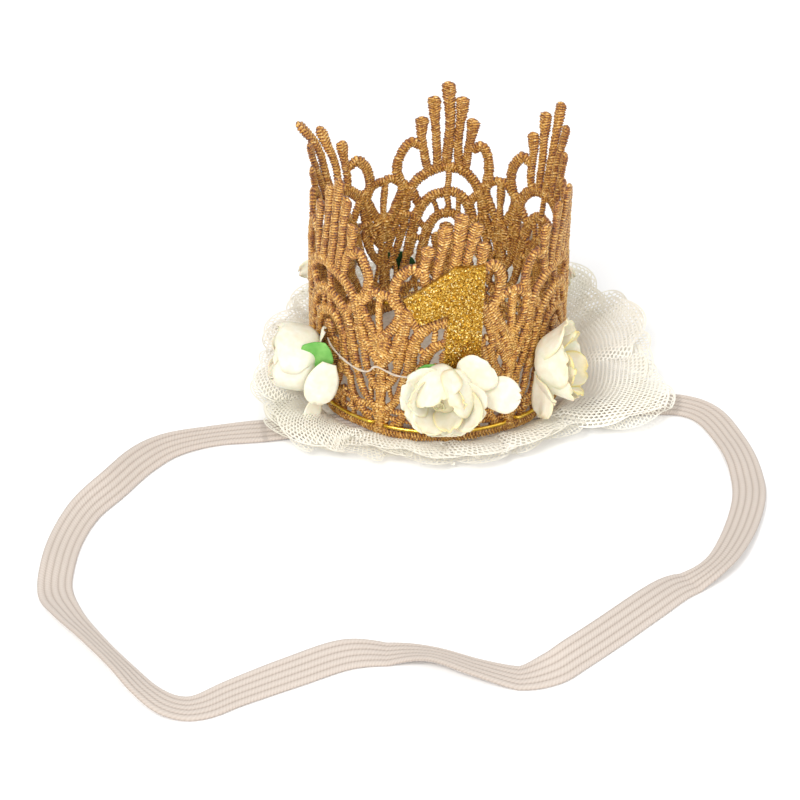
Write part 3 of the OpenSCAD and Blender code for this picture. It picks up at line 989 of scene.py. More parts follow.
@dataclass
class NetRuffle:
    """One gathered layer of stiff net: real threads between hexagonal holes, fluted towards its edge.

    The flutes fold and sway sideways towards the edge, which is scalloped and melted to a narrow hem.
    """

    name: str
    node: str | None
    upper: bool
    share: float
    flutes: int
    phase: float
    flute_h: float
    lift: float
    fold: float = 0.07
    sway: float = 1.0
    pitch: float = 1.25
    thread: float = 0.38
    scallop: float = 2.2
    scallops: int = 36
    bias: float = 0.5
    hem: float = 0.4
    reach: float = 20.0
    edge_lift: float = 12.0
    lobe: float = 0.06
    seam_gap: float = 0.6
    lowest: float = 0.7
    top_share: float = 0.85
    seam_lift: float = 0.15
    hem_steps: int = 1080
    # How unevenly the flutes crowd, in three and in five slow waves round the crown.
    crowding: tuple = (0.9, 0.6)
    scallop_mid: float = 0.6
    sway_lag: float = 1.2
    # Knots keep this far inside the edge, and threads that cross lie this far apart. A sheet is
    # declared at least this wide.
    edge_gap: float = 0.2
    cross_gap: float = 0.02
    least_width: float = 10.0
    # Azimuth, and the edge's reach beyond the crown and height there as shares of the full ones.
    rows: tuple = (
        (0, 1.05, 0.6), (20, 1.02, 0.8), (42, 0.96, 0.7), (62, 0.84, 0.6),
        (85, 0.8, 0.55), (110, 0.8, 0.6), (130, 0.66, 0.6), (150, 0.55, 0.5),
        (170, 0.58, 0.35), (190, 0.66, 0.25), (208, 0.82, 0.24), (222, 0.85, 0.2),
        (238, 0.58, 0.14), (252, 0.4, 0.14), (268, 0.44, 0.12), (290, 0.48, 0.12),
        (312, 0.48, 0.14), (328, 0.75, 0.14), (341, 1.38, 0.2), (350, 1.14, 0.3),
        (360, 1.05, 0.6),
    )

    def edge(self, az: np.ndarray) -> tuple:
        """Tell where the net's edge lies.

        Args:
            az: Azimuths in degrees.

        Returns:
            Its reach beyond the crown, and its height.
        """
        table = np.array(self.rows, float)
        out = np.interp(az % 360, table[:, 0], table[:, 1]) * self.reach
        up = np.interp(az % 360, table[:, 0], table[:, 2]) * self.edge_lift
        return out, up

    def place(self, az: np.ndarray, t: np.ndarray) -> np.ndarray:
        """Carry places of the net onto its fluted surface.

        Args:
            az: Azimuths in degrees.
            t: Shares of the way from the seam to the edge.

        Returns:
            Rows of x, y and z.
        """
        out, up = self.edge(az)
        a = np.radians(az)
        three, five = self.crowding
        wave = self.flutes * a + self.phase + three * np.sin(3 * a + self.phase) + five * np.sin(5 * a)
        seat = CROWN.base_r + self.seam_gap
        full = CROWN.radius + out * self.share * (1 + self.lobe * np.cos(wave))
        bow = np.abs(np.sin(self.scallops / 2 * a + self.phase)) - self.scallop_mid
        r = seat + t * (full - seat + self.scallop * bow) + self.sway * t * np.sin(wave + self.sway_lag)
        low = CROWN.base_t + self.lowest
        edge = np.maximum(up, self.lowest)
        z = low * (1 - t**2) + edge * t**2 * (self.top_share if self.upper else 1.0)
        puff = self.seam_lift + (1 - self.seam_lift) * np.sin(math.pi * t**0.8)
        z = z + self.flute_h * t**1.5 * (1 + np.cos(wave)) / 2 + self.lift * puff
        turned = a + self.fold * t**1.2 * np.sin(wave)
        return np.stack([r * np.cos(turned), r * np.sin(turned), np.maximum(z, self.lowest)], -1)

    def strip(self) -> tuple:
        """Measure the strip that the net was cut from.

        Returns:
            Azimuths, the length run to each, and the width of the net there.
        """
        az = np.linspace(0, 360, 1441)
        line = self.place(az, np.full_like(az, 0.8))
        run = np.r_[0, np.cumsum(np.linalg.norm(np.diff(line, axis=0), axis=1))]
        t = np.linspace(0, 1, 9)
        grid = self.place(az[:, None] + 0 * t, t[None] + 0 * az[:, None])
        width = np.linalg.norm(np.diff(grid, axis=1), axis=2).sum(1)
        return az, run, width

    def lattice(self, length: float, width: float) -> tuple:
        """Lay out hexagonal net on a flat strip.

        Args:
            length: The strip's length.
            width: The strip's greatest width.

        Returns:
            Knots as rows, pairs of knots that a thread joins, and the length that the pattern fills.
        """
        side = self.pitch / math.sqrt(3)
        columns = max(2, round(length / self.pitch))
        pitch = length / columns
        rows = int(width / (1.5 * side)) + 2
        i, j = np.meshgrid(np.arange(columns), np.arange(rows), indexing="ij")
        x = (i + 0.5 * (j % 2)) * pitch
        y = j * 1.5 * side
        low = np.stack([x, y], -1).reshape(-1, 2)
        high = np.stack([x, y + side], -1).reshape(-1, 2)
        knots = np.vstack([low, high])
        number = (i * rows + j).astype(int)
        count = columns * rows
        pairs = [np.stack([number, number + count], -1).reshape(-1, 2)]
        above = j[:, :-1] + 1
        odd = j[:, :-1] % 2
        for shift in (0, 1):
            column = (i[:, :-1] + odd - shift) % columns
            pairs.append(np.stack([number[:, :-1] + count, column * rows + above], -1).reshape(-1, 2))
        return knots, np.vstack(pairs), pitch * columns

    def melt_edge(self, parts: MeshParts, az: np.ndarray, width: np.ndarray) -> None:
        """Add the heat-cut edge, melted to a narrow hem.

        Args:
            parts: The mesh that the hem joins.
            az: Azimuths in degrees.
            width: The net's width at each.
        """
        steps = self.hem_steps
        at = np.linspace(0, 360, steps, endpoint=False)
        inner = self.place(at, 1 - self.hem / np.interp(at, az, width))
        ring = np.stack([inner, self.place(at, np.ones(steps))], 1)
        last = 2 * steps
        faces = [(2 * k, 2 * k + 1, (2 * k + 3) % last, (2 * k + 2) % last) for k in range(steps)]
        parts.add(ring.reshape(-1, 3), faces)

    def build(self) -> bpy.types.Object:
        """Returns:
            The net.
        """
        az, run, width = self.strip()
        length, widest = run[-1], width.max()
        knots, pairs, around = self.lattice(length, widest)
        # Gathering pulls the net askew.
        knots[:, 0] += self.bias * knots[:, 1]
        limit = np.interp(knots[:, 0] % length, run, width)
        inside = knots[:, 1] <= limit - self.edge_gap
        pairs = pairs[inside[pairs[:, 0]] & inside[pairs[:, 1]]]
        a, b = knots[pairs[:, 0]], knots[pairs[:, 1]].copy()
        b[:, 0] += np.round((a[:, 0] - b[:, 0]) / around) * around
        d = unit(b - a)
        n = np.stack([-d[:, 1], d[:, 0]], 1) * self.thread / 2
        corners = np.stack([a - n, b - n, b + n, a + n], 1)
        s, w = corners[..., 0] % length, corners[..., 1]
        t = w / np.interp(s, run, width)
        points = self.place(np.interp(s, run, az), np.clip(t, 0, 1.02)).reshape(-1, 3)
        points[:, 2] += np.repeat(self.cross_gap * (np.arange(len(pairs)) % 3), 4)
        parts = MeshParts()
        parts.add(points, [(4 * k, 4 * k + 1, 4 * k + 2, 4 * k + 3) for k in range(len(pairs))])
        self.melt_edge(parts, az, width)
        area = self.thread * np.linalg.norm(b - a, axis=1).sum() + self.hem * length
        net = dressed(parts.piece(self.name), NET, (self.node,) if self.node else ())
        mean = width.mean()
        cover = area / (length * mean)
        LOG.info("%s: flat %.1f by %.1f mm, threads cover %.2f", self.name, mean, length, cover)
        return net


@dataclass
class ElasticBand:
    """The loop of ribbed elastic, swept along the part's route.

    It lies on the table in front, and under the crown it's glued across the felt, turned by a few
    degrees and offset from the middle.
    """

    width: float = 8.0
    thick: float = 1.0
    loop_w: float = 164.0
    reach: float = 130.0
    offset: float = 19.5
    turn: float = 7.0
    ribs: int = 5
    rib_h: float = 0.22
    rib_steps: int = 6
    rib_power: float = 0.6
    edge_power: int = 14
    steps: int = 7
    pace: float = 1.4
    # Share of half the loop's width, share of its reach, and the strip's tilt in degrees.
    rows: tuple = (
        (-0.54, -0.196, 8), (-0.69, -0.21, 4), (-0.81, -0.248, 16), (-0.89, -0.31, 32),
        (-0.96, -0.39, 38), (-1.03, -0.455, 21), (-1.07, -0.53, 10), (-1.085, -0.61, 8),
        (-1.08, -0.69, 0), (-1.03, -0.765, 20), (-0.95, -0.84, 32), (-0.86, -0.915, 32),
        (-0.79, -0.97, 22), (-0.72, -1, 6), (-0.64, -1, -3), (-0.55, -0.967, -9),
        (-0.4, -0.918, -18), (-0.26, -0.873, -18), (-0.14, -0.862, 2), (-0.03, -0.873, 18),
        (0.09, -0.906, 14), (0.2, -0.925, 0), (0.29, -0.914, -24), (0.36, -0.882, -42),
        (0.46, -0.82, -40), (0.57, -0.745, -30), (0.66, -0.682, -10), (0.75, -0.64, 14),
        (0.81, -0.59, 17), (0.87, -0.5, 10), (0.91, -0.4, 6), (0.91, -0.3, -3),
        (0.88, -0.21, 0), (0.83, -0.14, 6), (0.76, -0.108, 7), (0.67, -0.103, 4),
    )

    def build(self) -> bpy.types.Object:
        """Sweep the ribbed strip round its closed route.

        Returns:
            The elastic.
        """
        free = [(r[0] * self.loop_w / 2, r[1] * self.reach, r[2], 0.0) for r in self.rows]
        turn = math.radians(self.turn)
        bed = np.array([math.cos(turn), math.sin(turn)])
        middle = self.offset * np.array([math.sin(turn), -math.cos(turn)])
        half = math.sqrt(CROWN.base_r**2 - (self.offset - self.width / 2) ** 2) + 1
        seat = CROWN.base_t - self.thick - CROWN.gap / 2
        glued = [(*(middle + s * half * bed), 0.0, seat) for s in (1, 0.33, -0.33, -1)]
        route = curve_through(np.array(free + glued), self.steps, closed=True)
        route = evenly(route, self.pace, closed=True)
        n = len(route)
        tilt = np.radians(route[:, 2])
        ahead = directions(route[:, :2], closed=True)
        outer = np.stack([ahead[:, 1], -ahead[:, 0], np.zeros(n)], 1)
        up = np.array([0.0, 0.0, 1.0])
        wide = outer * np.cos(tilt)[:, None] + up * np.sin(tilt)[:, None]
        face = up * np.cos(tilt)[:, None] - outer * np.sin(tilt)[:, None]
        low = (self.width * np.abs(np.sin(tilt)) + self.thick * np.cos(tilt)) / 2
        centres = np.column_stack([route[:, :2], np.maximum(route[:, 3], 0) + low])
        # The section runs from the inner edge over the top to the outer edge and back below.
        half_n = self.ribs * self.rib_steps
        share = np.linspace(-1, 1, half_n + 1)
        rib = np.abs(np.sin(np.linspace(0, self.ribs * math.pi, half_n + 1))) ** self.rib_power
        edge = np.sqrt(np.clip(1 - np.abs(share) ** self.edge_power, 0.02, 1))
        height = (self.thick / 2 - self.rib_h + self.rib_h * rib) * edge
        u = np.r_[share, share[::-1]] * self.width / 2
        v = np.r_[-height, height[::-1]]
        across = u[None, :, None] * -wide[:, None] + v[None, :, None] * face[:, None]
        run = np.r_[0, np.cumsum(np.linalg.norm(np.diff(centres, axis=0), axis=1))]
        parts = MeshParts()
        # The rib's height goes out as the rim value, which paints shade into the grooves.
        values = {ALONG: run[:, None], ACROSS: u[None], RIM: np.r_[rib, rib[::-1]][None]}
        parts.sweep(centres, across, True, **values)
        band = parts.piece("ribbed_elastic_loop")
        LOG.info("elastic: %.0f mm round", run[-1])
        return dressed(band, ELASTIC, ("elastic_band",))


@dataclass(frozen=True)
class Petal:
    """A petal: its turn round the rose, opening, length, width, foot and how it cups and rolls.

    The foot is its distance from the rose's axis, and height is how far up it starts. It leaves the axis
    at the start angle, opens to the opening angle, and its tip rolls on from there. It can be twisted, or
    moved aside, and a rim adds to the yellow of its edge.
    """

    turn: float
    opening: float
    length: float
    width: float
    foot: float = 2.0
    height: float = 0.0
    cup: float = 0.8
    roll: float = 45.0
    start: float = 80.0
    twist: float = 0.0
    aside: float = 0.0
    rim: float = 0.0


@dataclass
class PaperRose:
    """A rose of pressed paper petals round a rolled core."""

    name: str
    node: str
    azimuth: float
    z_share: float
    up: float
    turn: float
    share: float
    petals: tuple
    in_front: float = 0.0
    shift: tuple = (0.0, 0.0)
    core_shift: tuple = (0.0, 0.0)
    wrinkle: float = 1.0
    bulb: tuple = (4.6, 4.6, 2.3)
    core_r: float = 2.3
    core_h: float = 7.0
    core_turns: float = 2.2
    paper: float = 0.28
    yellow: float = 0.15
    # Shares of a petal's length: where it has opened, and where its tip starts to round and roll.
    opened: float = 0.45
    shoulder: float = 0.6
    # A petal's width at its foot as a share of its full width, and how much its tip rounds off.
    foot_share: float = 0.42
    tip_round: float = 0.92
    # How uneven hand-cut outlines are, and the ripples of pressed paper in millimetres.
    uneven: float = 0.05
    ripple: float = 0.35
    core_start: float = 0.5
    bulb_tint: float = 0.3
    rose_d: float = 26.0
    back_share: float = 0.17

    def stand(self) -> Matrix:
        """Tell where the rose stands, as the part has it.

        Returns:
            Its placement in millimetres.
        """
        d = self.share * self.rose_d
        askew = math.acos(math.cos(math.radians(self.up)) * math.cos(math.radians(self.turn)))
        off = CROWN.radius + CROWN.gap + self.in_front + self.back_share * d * math.sin(askew)
        return (
            Matrix.Rotation(math.radians(self.azimuth), 4, "Z")
            @ Matrix.Translation((off, 0, CROWN.foot_z + self.z_share * CROWN.height))
            @ Matrix.Rotation(math.radians(self.turn), 4, "Z")
            @ Matrix.Rotation(math.radians(90 - self.up), 4, "Y")
            @ Matrix.Translation((*self.shift, 0))
        )

    def petal_points(self, petal: Petal, u: np.ndarray, v: np.ndarray, seed: int) -> np.ndarray:
        """Shape a petal from its flat places.

        Args:
            petal: The petal.
            u: Places across, from -1 to 1.
            v: Places from foot to tip, from 0 to 1.
            seed: A number that picks its wrinkles.

        Returns:
            Rows of x, y and z about the rose's axis.
        """
        shoulder = self.shoulder
        steps = np.linspace(0, 1, 41)
        angle = petal.start + (petal.opening - petal.start) * eased(steps / self.opened)
        rolled = np.clip((steps - shoulder) / (1 - shoulder), 0, 1)
        angle = np.radians(angle + petal.roll * rolled**2)
        step = petal.length / (len(steps) - 1)
        rho = petal.foot + np.r_[0, np.cumsum(np.sin(angle[1:]) * step)]
        rise = petal.height + np.r_[0, np.cumsum(np.cos(angle[1:]) * step)]
        uneven = self.uneven * self.wrinkle
        cut = v * (1 + 0.9 * uneven * np.sin(4.5 * u + 1.7 * seed))
        here, high, lean = (np.interp(cut, steps, k) for k in (rho, rise, angle))
        past = np.maximum(v - shoulder, 0) / (1 - shoulder)
        swell = np.sin(np.minimum(v / shoulder, 1) * math.pi / 2)
        body = self.foot_share + (1 - self.foot_share) * swell
        tip = np.sqrt(1 - self.tip_round * past**2)
        half = petal.width / 2 * body * tip * (1 + uneven * np.sin(8 * v + 2 * seed))
        bend = np.maximum(petal.width / 2, here) / max(petal.cup, 0.05)
        arc = u * half / bend
        side = bend * np.sin(arc)
        inward = bend * (1 - np.cos(arc)) - petal.roll / 75 * np.abs(u) ** 3 * v
        wave = np.sin(3.3 * u + seed) * v**2 + 0.57 * np.sin(7 * u + 2 * seed) * v**3
        inward = inward + self.ripple * self.wrinkle * wave
        twist = math.radians(petal.twist)
        side, inward = (
            side * math.cos(twist) - inward * math.sin(twist),
            side * math.sin(twist) + inward * math.cos(twist),
        )
        side = side + petal.aside
        x = here - inward * np.cos(lean)
        z = high + inward * np.sin(lean)
        cos, sin = math.cos(math.radians(petal.turn)), math.sin(math.radians(petal.turn))
        return np.stack([x * cos - side * sin, x * sin + side * cos, z], 1)

    def grid(self, name: str, columns: int, rows: int) -> tuple:
        """Add a primitive grid as the flat blank of a petal.

        Args:
            name: The blank's name.
            columns: Its faces across.
            rows: Its faces along.

        Returns:
            The object, and its places across and along as arrays.
        """
        blank = primitive("grid", x_subdivisions=columns, y_subdivisions=rows, size=2)
        blank.name = name
        flat = places(blank)
        return blank, flat[:, 0], (flat[:, 1] + 1) / 2

    def set_points(self, blank: bpy.types.Object, points: np.ndarray, rim: np.ndarray) -> None:
        """Move a blank's vertices to their places and note how yellow each one is.

        Args:
            blank: The blank.
            points: The places in millimetres.
            rim: The share of yellow at each vertex, from the rims' own tint and from painted shade deep in a
                cup.
        """
        reshape(blank, points * MM)
        layer = blank.data.attributes.new(RIM, "FLOAT", "POINT")
        layer.data.foreach_set("value", rim.astype(np.float32))

    def wrapped_base(self) -> bpy.types.Object:
        """Shape the paper-wrapped bulb that the petals are glued round, from a sphere.

        Returns:
            The bulb.
        """
        bulb = primitive("uv_sphere", segments=24, ring_count=12, radius=1)
        ball = places(bulb)
        wraps = 1 + 0.05 * np.sin(5 * np.arctan2(ball[:, 1], ball[:, 0]) + 3 * ball[:, 2])
        points = ball * self.bulb * wraps[:, None] + [0, 0, self.bulb[2]]
        self.set_points(bulb, points, np.full(len(ball), self.bulb_tint))
        return bulb

    def build(self) -> bpy.types.Object:
        """Shape the petals and the rolled core, join them, and stand the rose in its place.

        Returns:
            The rose.
        """
        sheets = []
        for k, petal in enumerate(self.petals):
            blank, u, v = self.grid(f"{self.name}_petal", 12, 12)
            near = np.maximum(np.abs(u), v) ** 10
            # Yellow at the cut rims, which the paper has, and painted shade towards each petal's foot, deep
            # in the cup.
            tint = near * (self.yellow + petal.rim) + self.yellow * 0.35 * (1 - v)
            self.set_points(blank, self.petal_points(petal, u, v, k), np.clip(tint, 0, 1))
            sheets.append(blank)
        blank, u, v = self.grid(f"{self.name}_core", 40, 6)
        angle = (u + 1) / 2 * self.core_turns * 2 * math.pi
        r = self.core_start + (self.core_r - self.core_start) * (u + 1) / 2 * (0.75 + 0.25 * v)
        top = self.core_h * (0.85 + 0.15 * np.sin(angle * 0.8 + 1))
        rolled = np.stack([r * np.cos(angle), r * np.sin(angle), v * top], 1) + [*self.core_shift, 0]
        self.set_points(blank, rolled, np.clip(v**6 * (self.yellow + 0.35), 0, 1))
        sheets.append(blank)
        for sheet in sheets:
            apply_modifier(sheet, "SOLIDIFY", thickness=self.paper * MM, offset=0.0)
        sheets.append(self.wrapped_base())
        only(sheets[0])
        for sheet in sheets:
            sheet.select_set(True)
        bpy.ops.object.join()
        rose = bpy.context.active_object
        rose.name = self.name
        place = self.stand()
        place.translation *= MM
        rose.data.transform(place)
        rose.data.shade_smooth()
        return dressed(rose, PAPER, (self.node,))


# Petals by their turn round the rose (0 down, 180 up), opening, length, width, foot, height, cup and roll.
FRONT_PETALS = (
    Petal(127, 68, 9.2, 11.0, 5.0, 0.6, 0.6, 12),
    Petal(92, 72, 11.8, 9.5, 7.2, 0.6, 0.5, 8),
    Petal(245, 44, 10.0, 12.0, 2.3, 0.0, 0.9, 20),
    Petal(292, 46, 9.8, 12.0, 2.3, 0.0, 0.9, 45),
    Petal(338, 48, 9.8, 12.5, 2.3, 0.0, 0.9, 30),
    Petal(28, 48, 9.8, 12.5, 2.3, 0.0, 0.9, 25),
    Petal(75, 44, 10.4, 12.5, 2.3, 0.0, 0.9, 10),
    Petal(212, -38, 12.0, 14.0, 7.2, 0.6, 0.7, -20, 10, rim=0.3),
    Petal(122, -30, 12.5, 13.0, 6.8, 0.6, 0.6, -16, 10, rim=0.3),
    Petal(60, 26, 11.5, 11.0, 3.2, 0.5, 1.0, -10, rim=0.3),
    Petal(322, 24, 10.5, 10.5, 2.6, 0.6, 1.0, 20, rim=0.3),
    Petal(272, 22, 10.5, 9.5, 2.4, 0.6, 1.0, 15, rim=0.3),
    Petal(15, 14, 10.5, 8.5, 2.2, 0.6, 1.0, 10, rim=0.5),
    Petal(100, 8, 11.0, 6.5, 1.4, 0.6, 1.2, 0, rim=0.5),
)
RIGHT_PETALS = (
    Petal(338, 96, 12.0, 8.0, 1.5, 0.0, 0.5, 10, twist=-58),
    Petal(292, 50, 9.5, 6.5, 4.0, 0.0, 0.9, 0),
    Petal(238, 24, 12.5, 14.0, 3.4, 0.0, 1.0, -8),
    Petal(185, 30, 12.5, 13.0, 3.2, 0.0, 0.9, 8),
    Petal(300, 22, 12.0, 13.0, 3.4, 0.0, 1.0, 0),
    Petal(0, 24, 11.5, 13.0, 3.2, 0.0, 1.0, 8),
    Petal(60, 30, 12.0, 13.0, 3.0, 0.0, 0.9, 20),
    Petal(120, 30, 12.0, 13.0, 3.0, 0.0, 0.9, 20),
    Petal(255, 13, 12.5, 10.5, 2.6, 0.8, 1.0, 10, rim=0.5),
    Petal(330, 13, 12.0, 10.5, 2.6, 0.8, 1.0, 15, rim=0.5),
    Petal(40, 13, 12.0, 10.5, 2.6, 0.8, 1.0, 15, rim=0.5),
    Petal(160, 12, 12.0, 10.5, 2.2, 0.8, 1.0, 15, rim=0.5),
)
LEFT_PETALS = (
    Petal(155, 4, 14.5, 18.0, 4.6, 0.0, 1.0, -62),
    Petal(85, 2, 13.0, 16.0, 4.8, 0.0, 1.0, -58),
    Petal(20, 4, 12.5, 16.0, 4.6, 0.0, 1.0, -55),
    Petal(215, 5, 14.0, 16.0, 4.4, 0.0, 1.0, -55),
    Petal(275, 4, 14.0, 16.0, 4.4, 0.0, 1.0, -50),
    Petal(330, 4, 13.5, 15.0, 4.4, 0.0, 1.0, -50),
    Petal(8, 90, 11.6, 8.8, -4.6, -2.4, 0.3, 0, twist=78, aside=9.0),
    Petal(4, 92, 7.0, 5.0, 6.0, -1.8, 0.3, 0, twist=60, aside=7.0),
    Petal(172, 76, 8.0, 6.0, 3.4, -0.4, 0.9, 40),
    Petal(240, 10, 12.0, 10.0, 2.2, 1.0, 1.0, 0),
    Petal(120, 8, 12.0, 10.0, 2.2, 1.0, 1.0, 0),
    Petal(0, 8, 12.0, 10.0, 2.2, 1.0, 1.0, 0),
)


def full_rose(spin: float) -> tuple:
    """Lay out the petals of a fully opened rose.

    Args:
        spin: Where its first petal points, in degrees.

    Returns:
        Its petals, from the outside in.
    """
    # Petals in a ring and the turn of its first, then opening, length, width, foot, height, cup and roll.
    rings = (
        (5, 0, 46, 10.5, 11.5, 2.4, 0.0, 0.85, 40),
        (4, 36, 28, 12.0, 10.5, 1.9, 0.8, 1.0, 30),
        (3, 10, 14, 11.5, 8.0, 1.4, 1.2, 1.1, 15),
    )
    return tuple(
        Petal(spin + first + 360 / count * k, *shape) for count, first, *shape in rings for k in range(count)
    )


@dataclass
class PaperLeaf:
    """A pointed paper leaf, folded along its middle rib."""

    name: str
    node: str
    azimuth: float
    z_share: float
    lean: float
    finish: Finish
    length: float = 11.0
    width: float = 5.6
    stand: float = 33.4
    turn: float = 0.0
    paper: float = 0.35
    fold: float = 0.5
    ripple: float = 0.12
    uneven: float = 0.04
    off: float = 0.1

    def build(self) -> bpy.types.Object:
        """Shape the leaf from a flat grid and stand it against the lace.

        Returns:
            The leaf.
        """
        leaf = primitive("grid", x_subdivisions=8, y_subdivisions=14, size=2)
        leaf.name = self.name
        u, v = places(leaf)[:, :2].T
        half = self.width / 2 * (1 - np.abs(v) ** 2.2) * (1 + self.uneven * np.sin(9 * v))
        y = u * np.maximum(half, 0.05)
        fold = self.fold * (np.abs(u) * (1 - np.abs(v)) + v**2) + self.ripple * np.sin(6 * v) * np.abs(u)
        reshape(leaf, np.stack([self.off + fold, y, v * self.length / 2], 1) * MM)
        apply_modifier(leaf, "SOLIDIFY", thickness=self.paper * MM, offset=1.0)
        place = (
            Matrix.Rotation(math.radians(self.azimuth), 4, "Z")
            @ Matrix.Translation((self.stand * MM, 0, (CROWN.foot_z + self.z_share * CROWN.height) * MM))
            @ Matrix.Rotation(math.radians(self.turn), 4, "Z")
            @ Matrix.Rotation(math.radians(self.lean - 90), 4, "X")
        )
        leaf.data.transform(place)
        leaf.data.shade_smooth()
        return dressed(leaf, self.finish, (self.node,))


@dataclass
class Numeral:
    """The glitter numeral: the part's own solid, with flakes of glitter on its face.

    Left is where its outline starts, as a share of its width. The flakes lie a little above the face and
    are tilted at random.
    """

    height: float = 34.0
    width: float = 19.5
    rise: float = 17.0
    left: float = -0.45
    thick: float = 1.0
    flakes: int = 3600
    flake: float = 0.36
    above: float = 0.1
    tilt: float = 0.3
    sizes: tuple = (0.75, 1.2)
    # Corners as shares of the width and the height.
    outline: tuple = ((0.62, 1), (1, 0.99), (0.94, 0), (0.47, 0), (0.555, 0.625), (0.2, 0.53), (0, 0.72))

    def inside(self, x: np.ndarray, z: np.ndarray) -> np.ndarray:
        """Tell which places lie inside the outline.

        Args:
            x: Shares of its width.
            z: Shares of its height.

        Returns:
            True for each place inside.
        """
        hit = np.zeros(len(x), bool)
        ends = self.outline[1:] + self.outline[:1]
        for (ax, az), (bx, bz) in zip(self.outline, ends):
            crosses = (az > z) != (bz > z)
            with np.errstate(divide="ignore", invalid="ignore"):
                at = ax + (z - az) / (bz - az) * (bx - ax) if bz != az else np.full(len(x), np.inf)
            hit ^= crosses & (x < at)
        return hit

    def build(self) -> bpy.types.Object:
        """Dress the numeral and scatter flakes over its face.

        Returns:
            The flakes.
        """
        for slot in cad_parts["number_one"].material_slots:
            slot.material = SHEET.material()
        blank = primitive("circle", vertices=6, radius=1, fill_type="NGON")
        hexagon = places(blank)
        bpy.data.objects.remove(blank)
        rng = np.random.default_rng(SEED + 1)
        x, z = rng.uniform(0.01, 0.99, (2, self.flakes * 3))
        keep = self.inside(x, z)
        x, z = x[keep][: self.flakes], z[keep][: self.flakes]
        n = len(x)
        r = CROWN.radius + 2 * CROWN.gap + self.thick + self.above
        across = (x + self.left) * self.width
        a = np.arcsin(across / r)
        centre = np.stack([across, -r * np.cos(a), z * self.height + CROWN.foot_z + self.rise], 1)
        out = np.stack([np.sin(a), -np.cos(a), np.zeros(n)], 1)
        out = unit(out + rng.normal(0, self.tilt, (n, 3)))
        side = unit(np.cross(out, rng.normal(0, 1, (n, 3))))
        up = np.cross(out, side)
        size = self.flake / 2 * rng.uniform(*self.sizes, n)
        rings = hexagon[None, :, :1] * side[:, None] + hexagon[None, :, 1:2] * up[:, None]
        points = (centre[:, None] + rings * size[:, None, None]).reshape(-1, 3)
        parts = MeshParts()
        parts.add(
            points,
            [tuple(6 * k + j for j in range(6)) for k in range(n)],
            **{STITCH: np.repeat(rng.uniform(0, 1, n), 6)},
        )
        return dressed(parts.piece("numeral_glitter_flakes", smooth=False), FLAKE)


@dataclass
class FeltBase:
    """The felt disc under the crown, a soft-edged copy of the part's own solid, roughened by its fuzz."""

    voxel: float = 0.75
    fuzz: float = 0.16

    def build(self) -> bpy.types.Object:
        """Copy the solid, soften its edges and roughen it as pressed felt is.

        Returns:
            The felt base.
        """
        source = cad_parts["base_pad"]
        felt = bpy.data.objects.new("felt_base", source.data.copy())
        bpy.context.scene.collection.objects.link(felt)
        only(felt)
        bpy.ops.object.mode_set(mode="EDIT")
        bpy.ops.mesh.select_all(action="SELECT")
        bpy.ops.mesh.remove_doubles(threshold=1e-6)
        bpy.ops.object.mode_set(mode="OBJECT")
        apply_modifier(felt, "REMESH", mode="VOXEL", voxel_size=self.voxel * MM)
        apply_modifier(felt, "SMOOTH", iterations=2, factor=0.5)
        rng = np.random.default_rng(SEED + 2)
        normals = np.array([v.normal for v in felt.data.vertices])
        moved = places(felt) + normals * rng.uniform(-self.fuzz, 0, len(normals))[:, None] * MM
        moved[:, 2] = np.maximum(moved[:, 2], 0.0)
        reshape(felt, moved)
        felt.data.shade_smooth()
        return dressed(felt, FELT, ("base_pad",))


@dataclass
class GlueString:
    """A string of hot glue left across the lace beside the front rose."""

    points: tuple = (
        (-27.5, -19.0, 24.6), (-26.4, -20.8, 22.7), (-21.9, -25.5, 20.7), (-17.9, -28.4, 20.6),
        (-15.7, -29.7, 22.9), (-12.8, -31.1, 22.3), (-10.6, -31.9, 21.7), (-5.7, -33.1, 21.6),
        (-2.5, -33.5, 20.8),
    )
    radius: float = 0.2
    stand: float = 0.9
    pace: float = 0.6
    around: int = 10

    def build(self) -> bpy.types.Object:
        """Draw the string as an uneven tube through its points.

        Returns:
            The string.
        """
        line = evenly(curve_through(np.array(self.points), 8), self.pace)
        reach = np.linalg.norm(line[:, :2], axis=1, keepdims=True)
        line[:, :2] *= (CROWN.radius + self.stand) / reach
        out, right = squared(unit(line * [1, 1, 0]), directions(line))
        size = self.radius * (1 + 0.5 * np.sin(np.arange(len(line)) * 0.37) ** 2)
        turn = np.linspace(0, 2 * math.pi, self.around, endpoint=False)[None, :, None]
        across = (np.cos(turn) * right[:, None] + np.sin(turn) * out[:, None]) * size[:, None, None]
        parts = MeshParts()
        parts.sweep(line, across, False)
        return dressed(parts.piece("hot_glue_string"), GLUE)


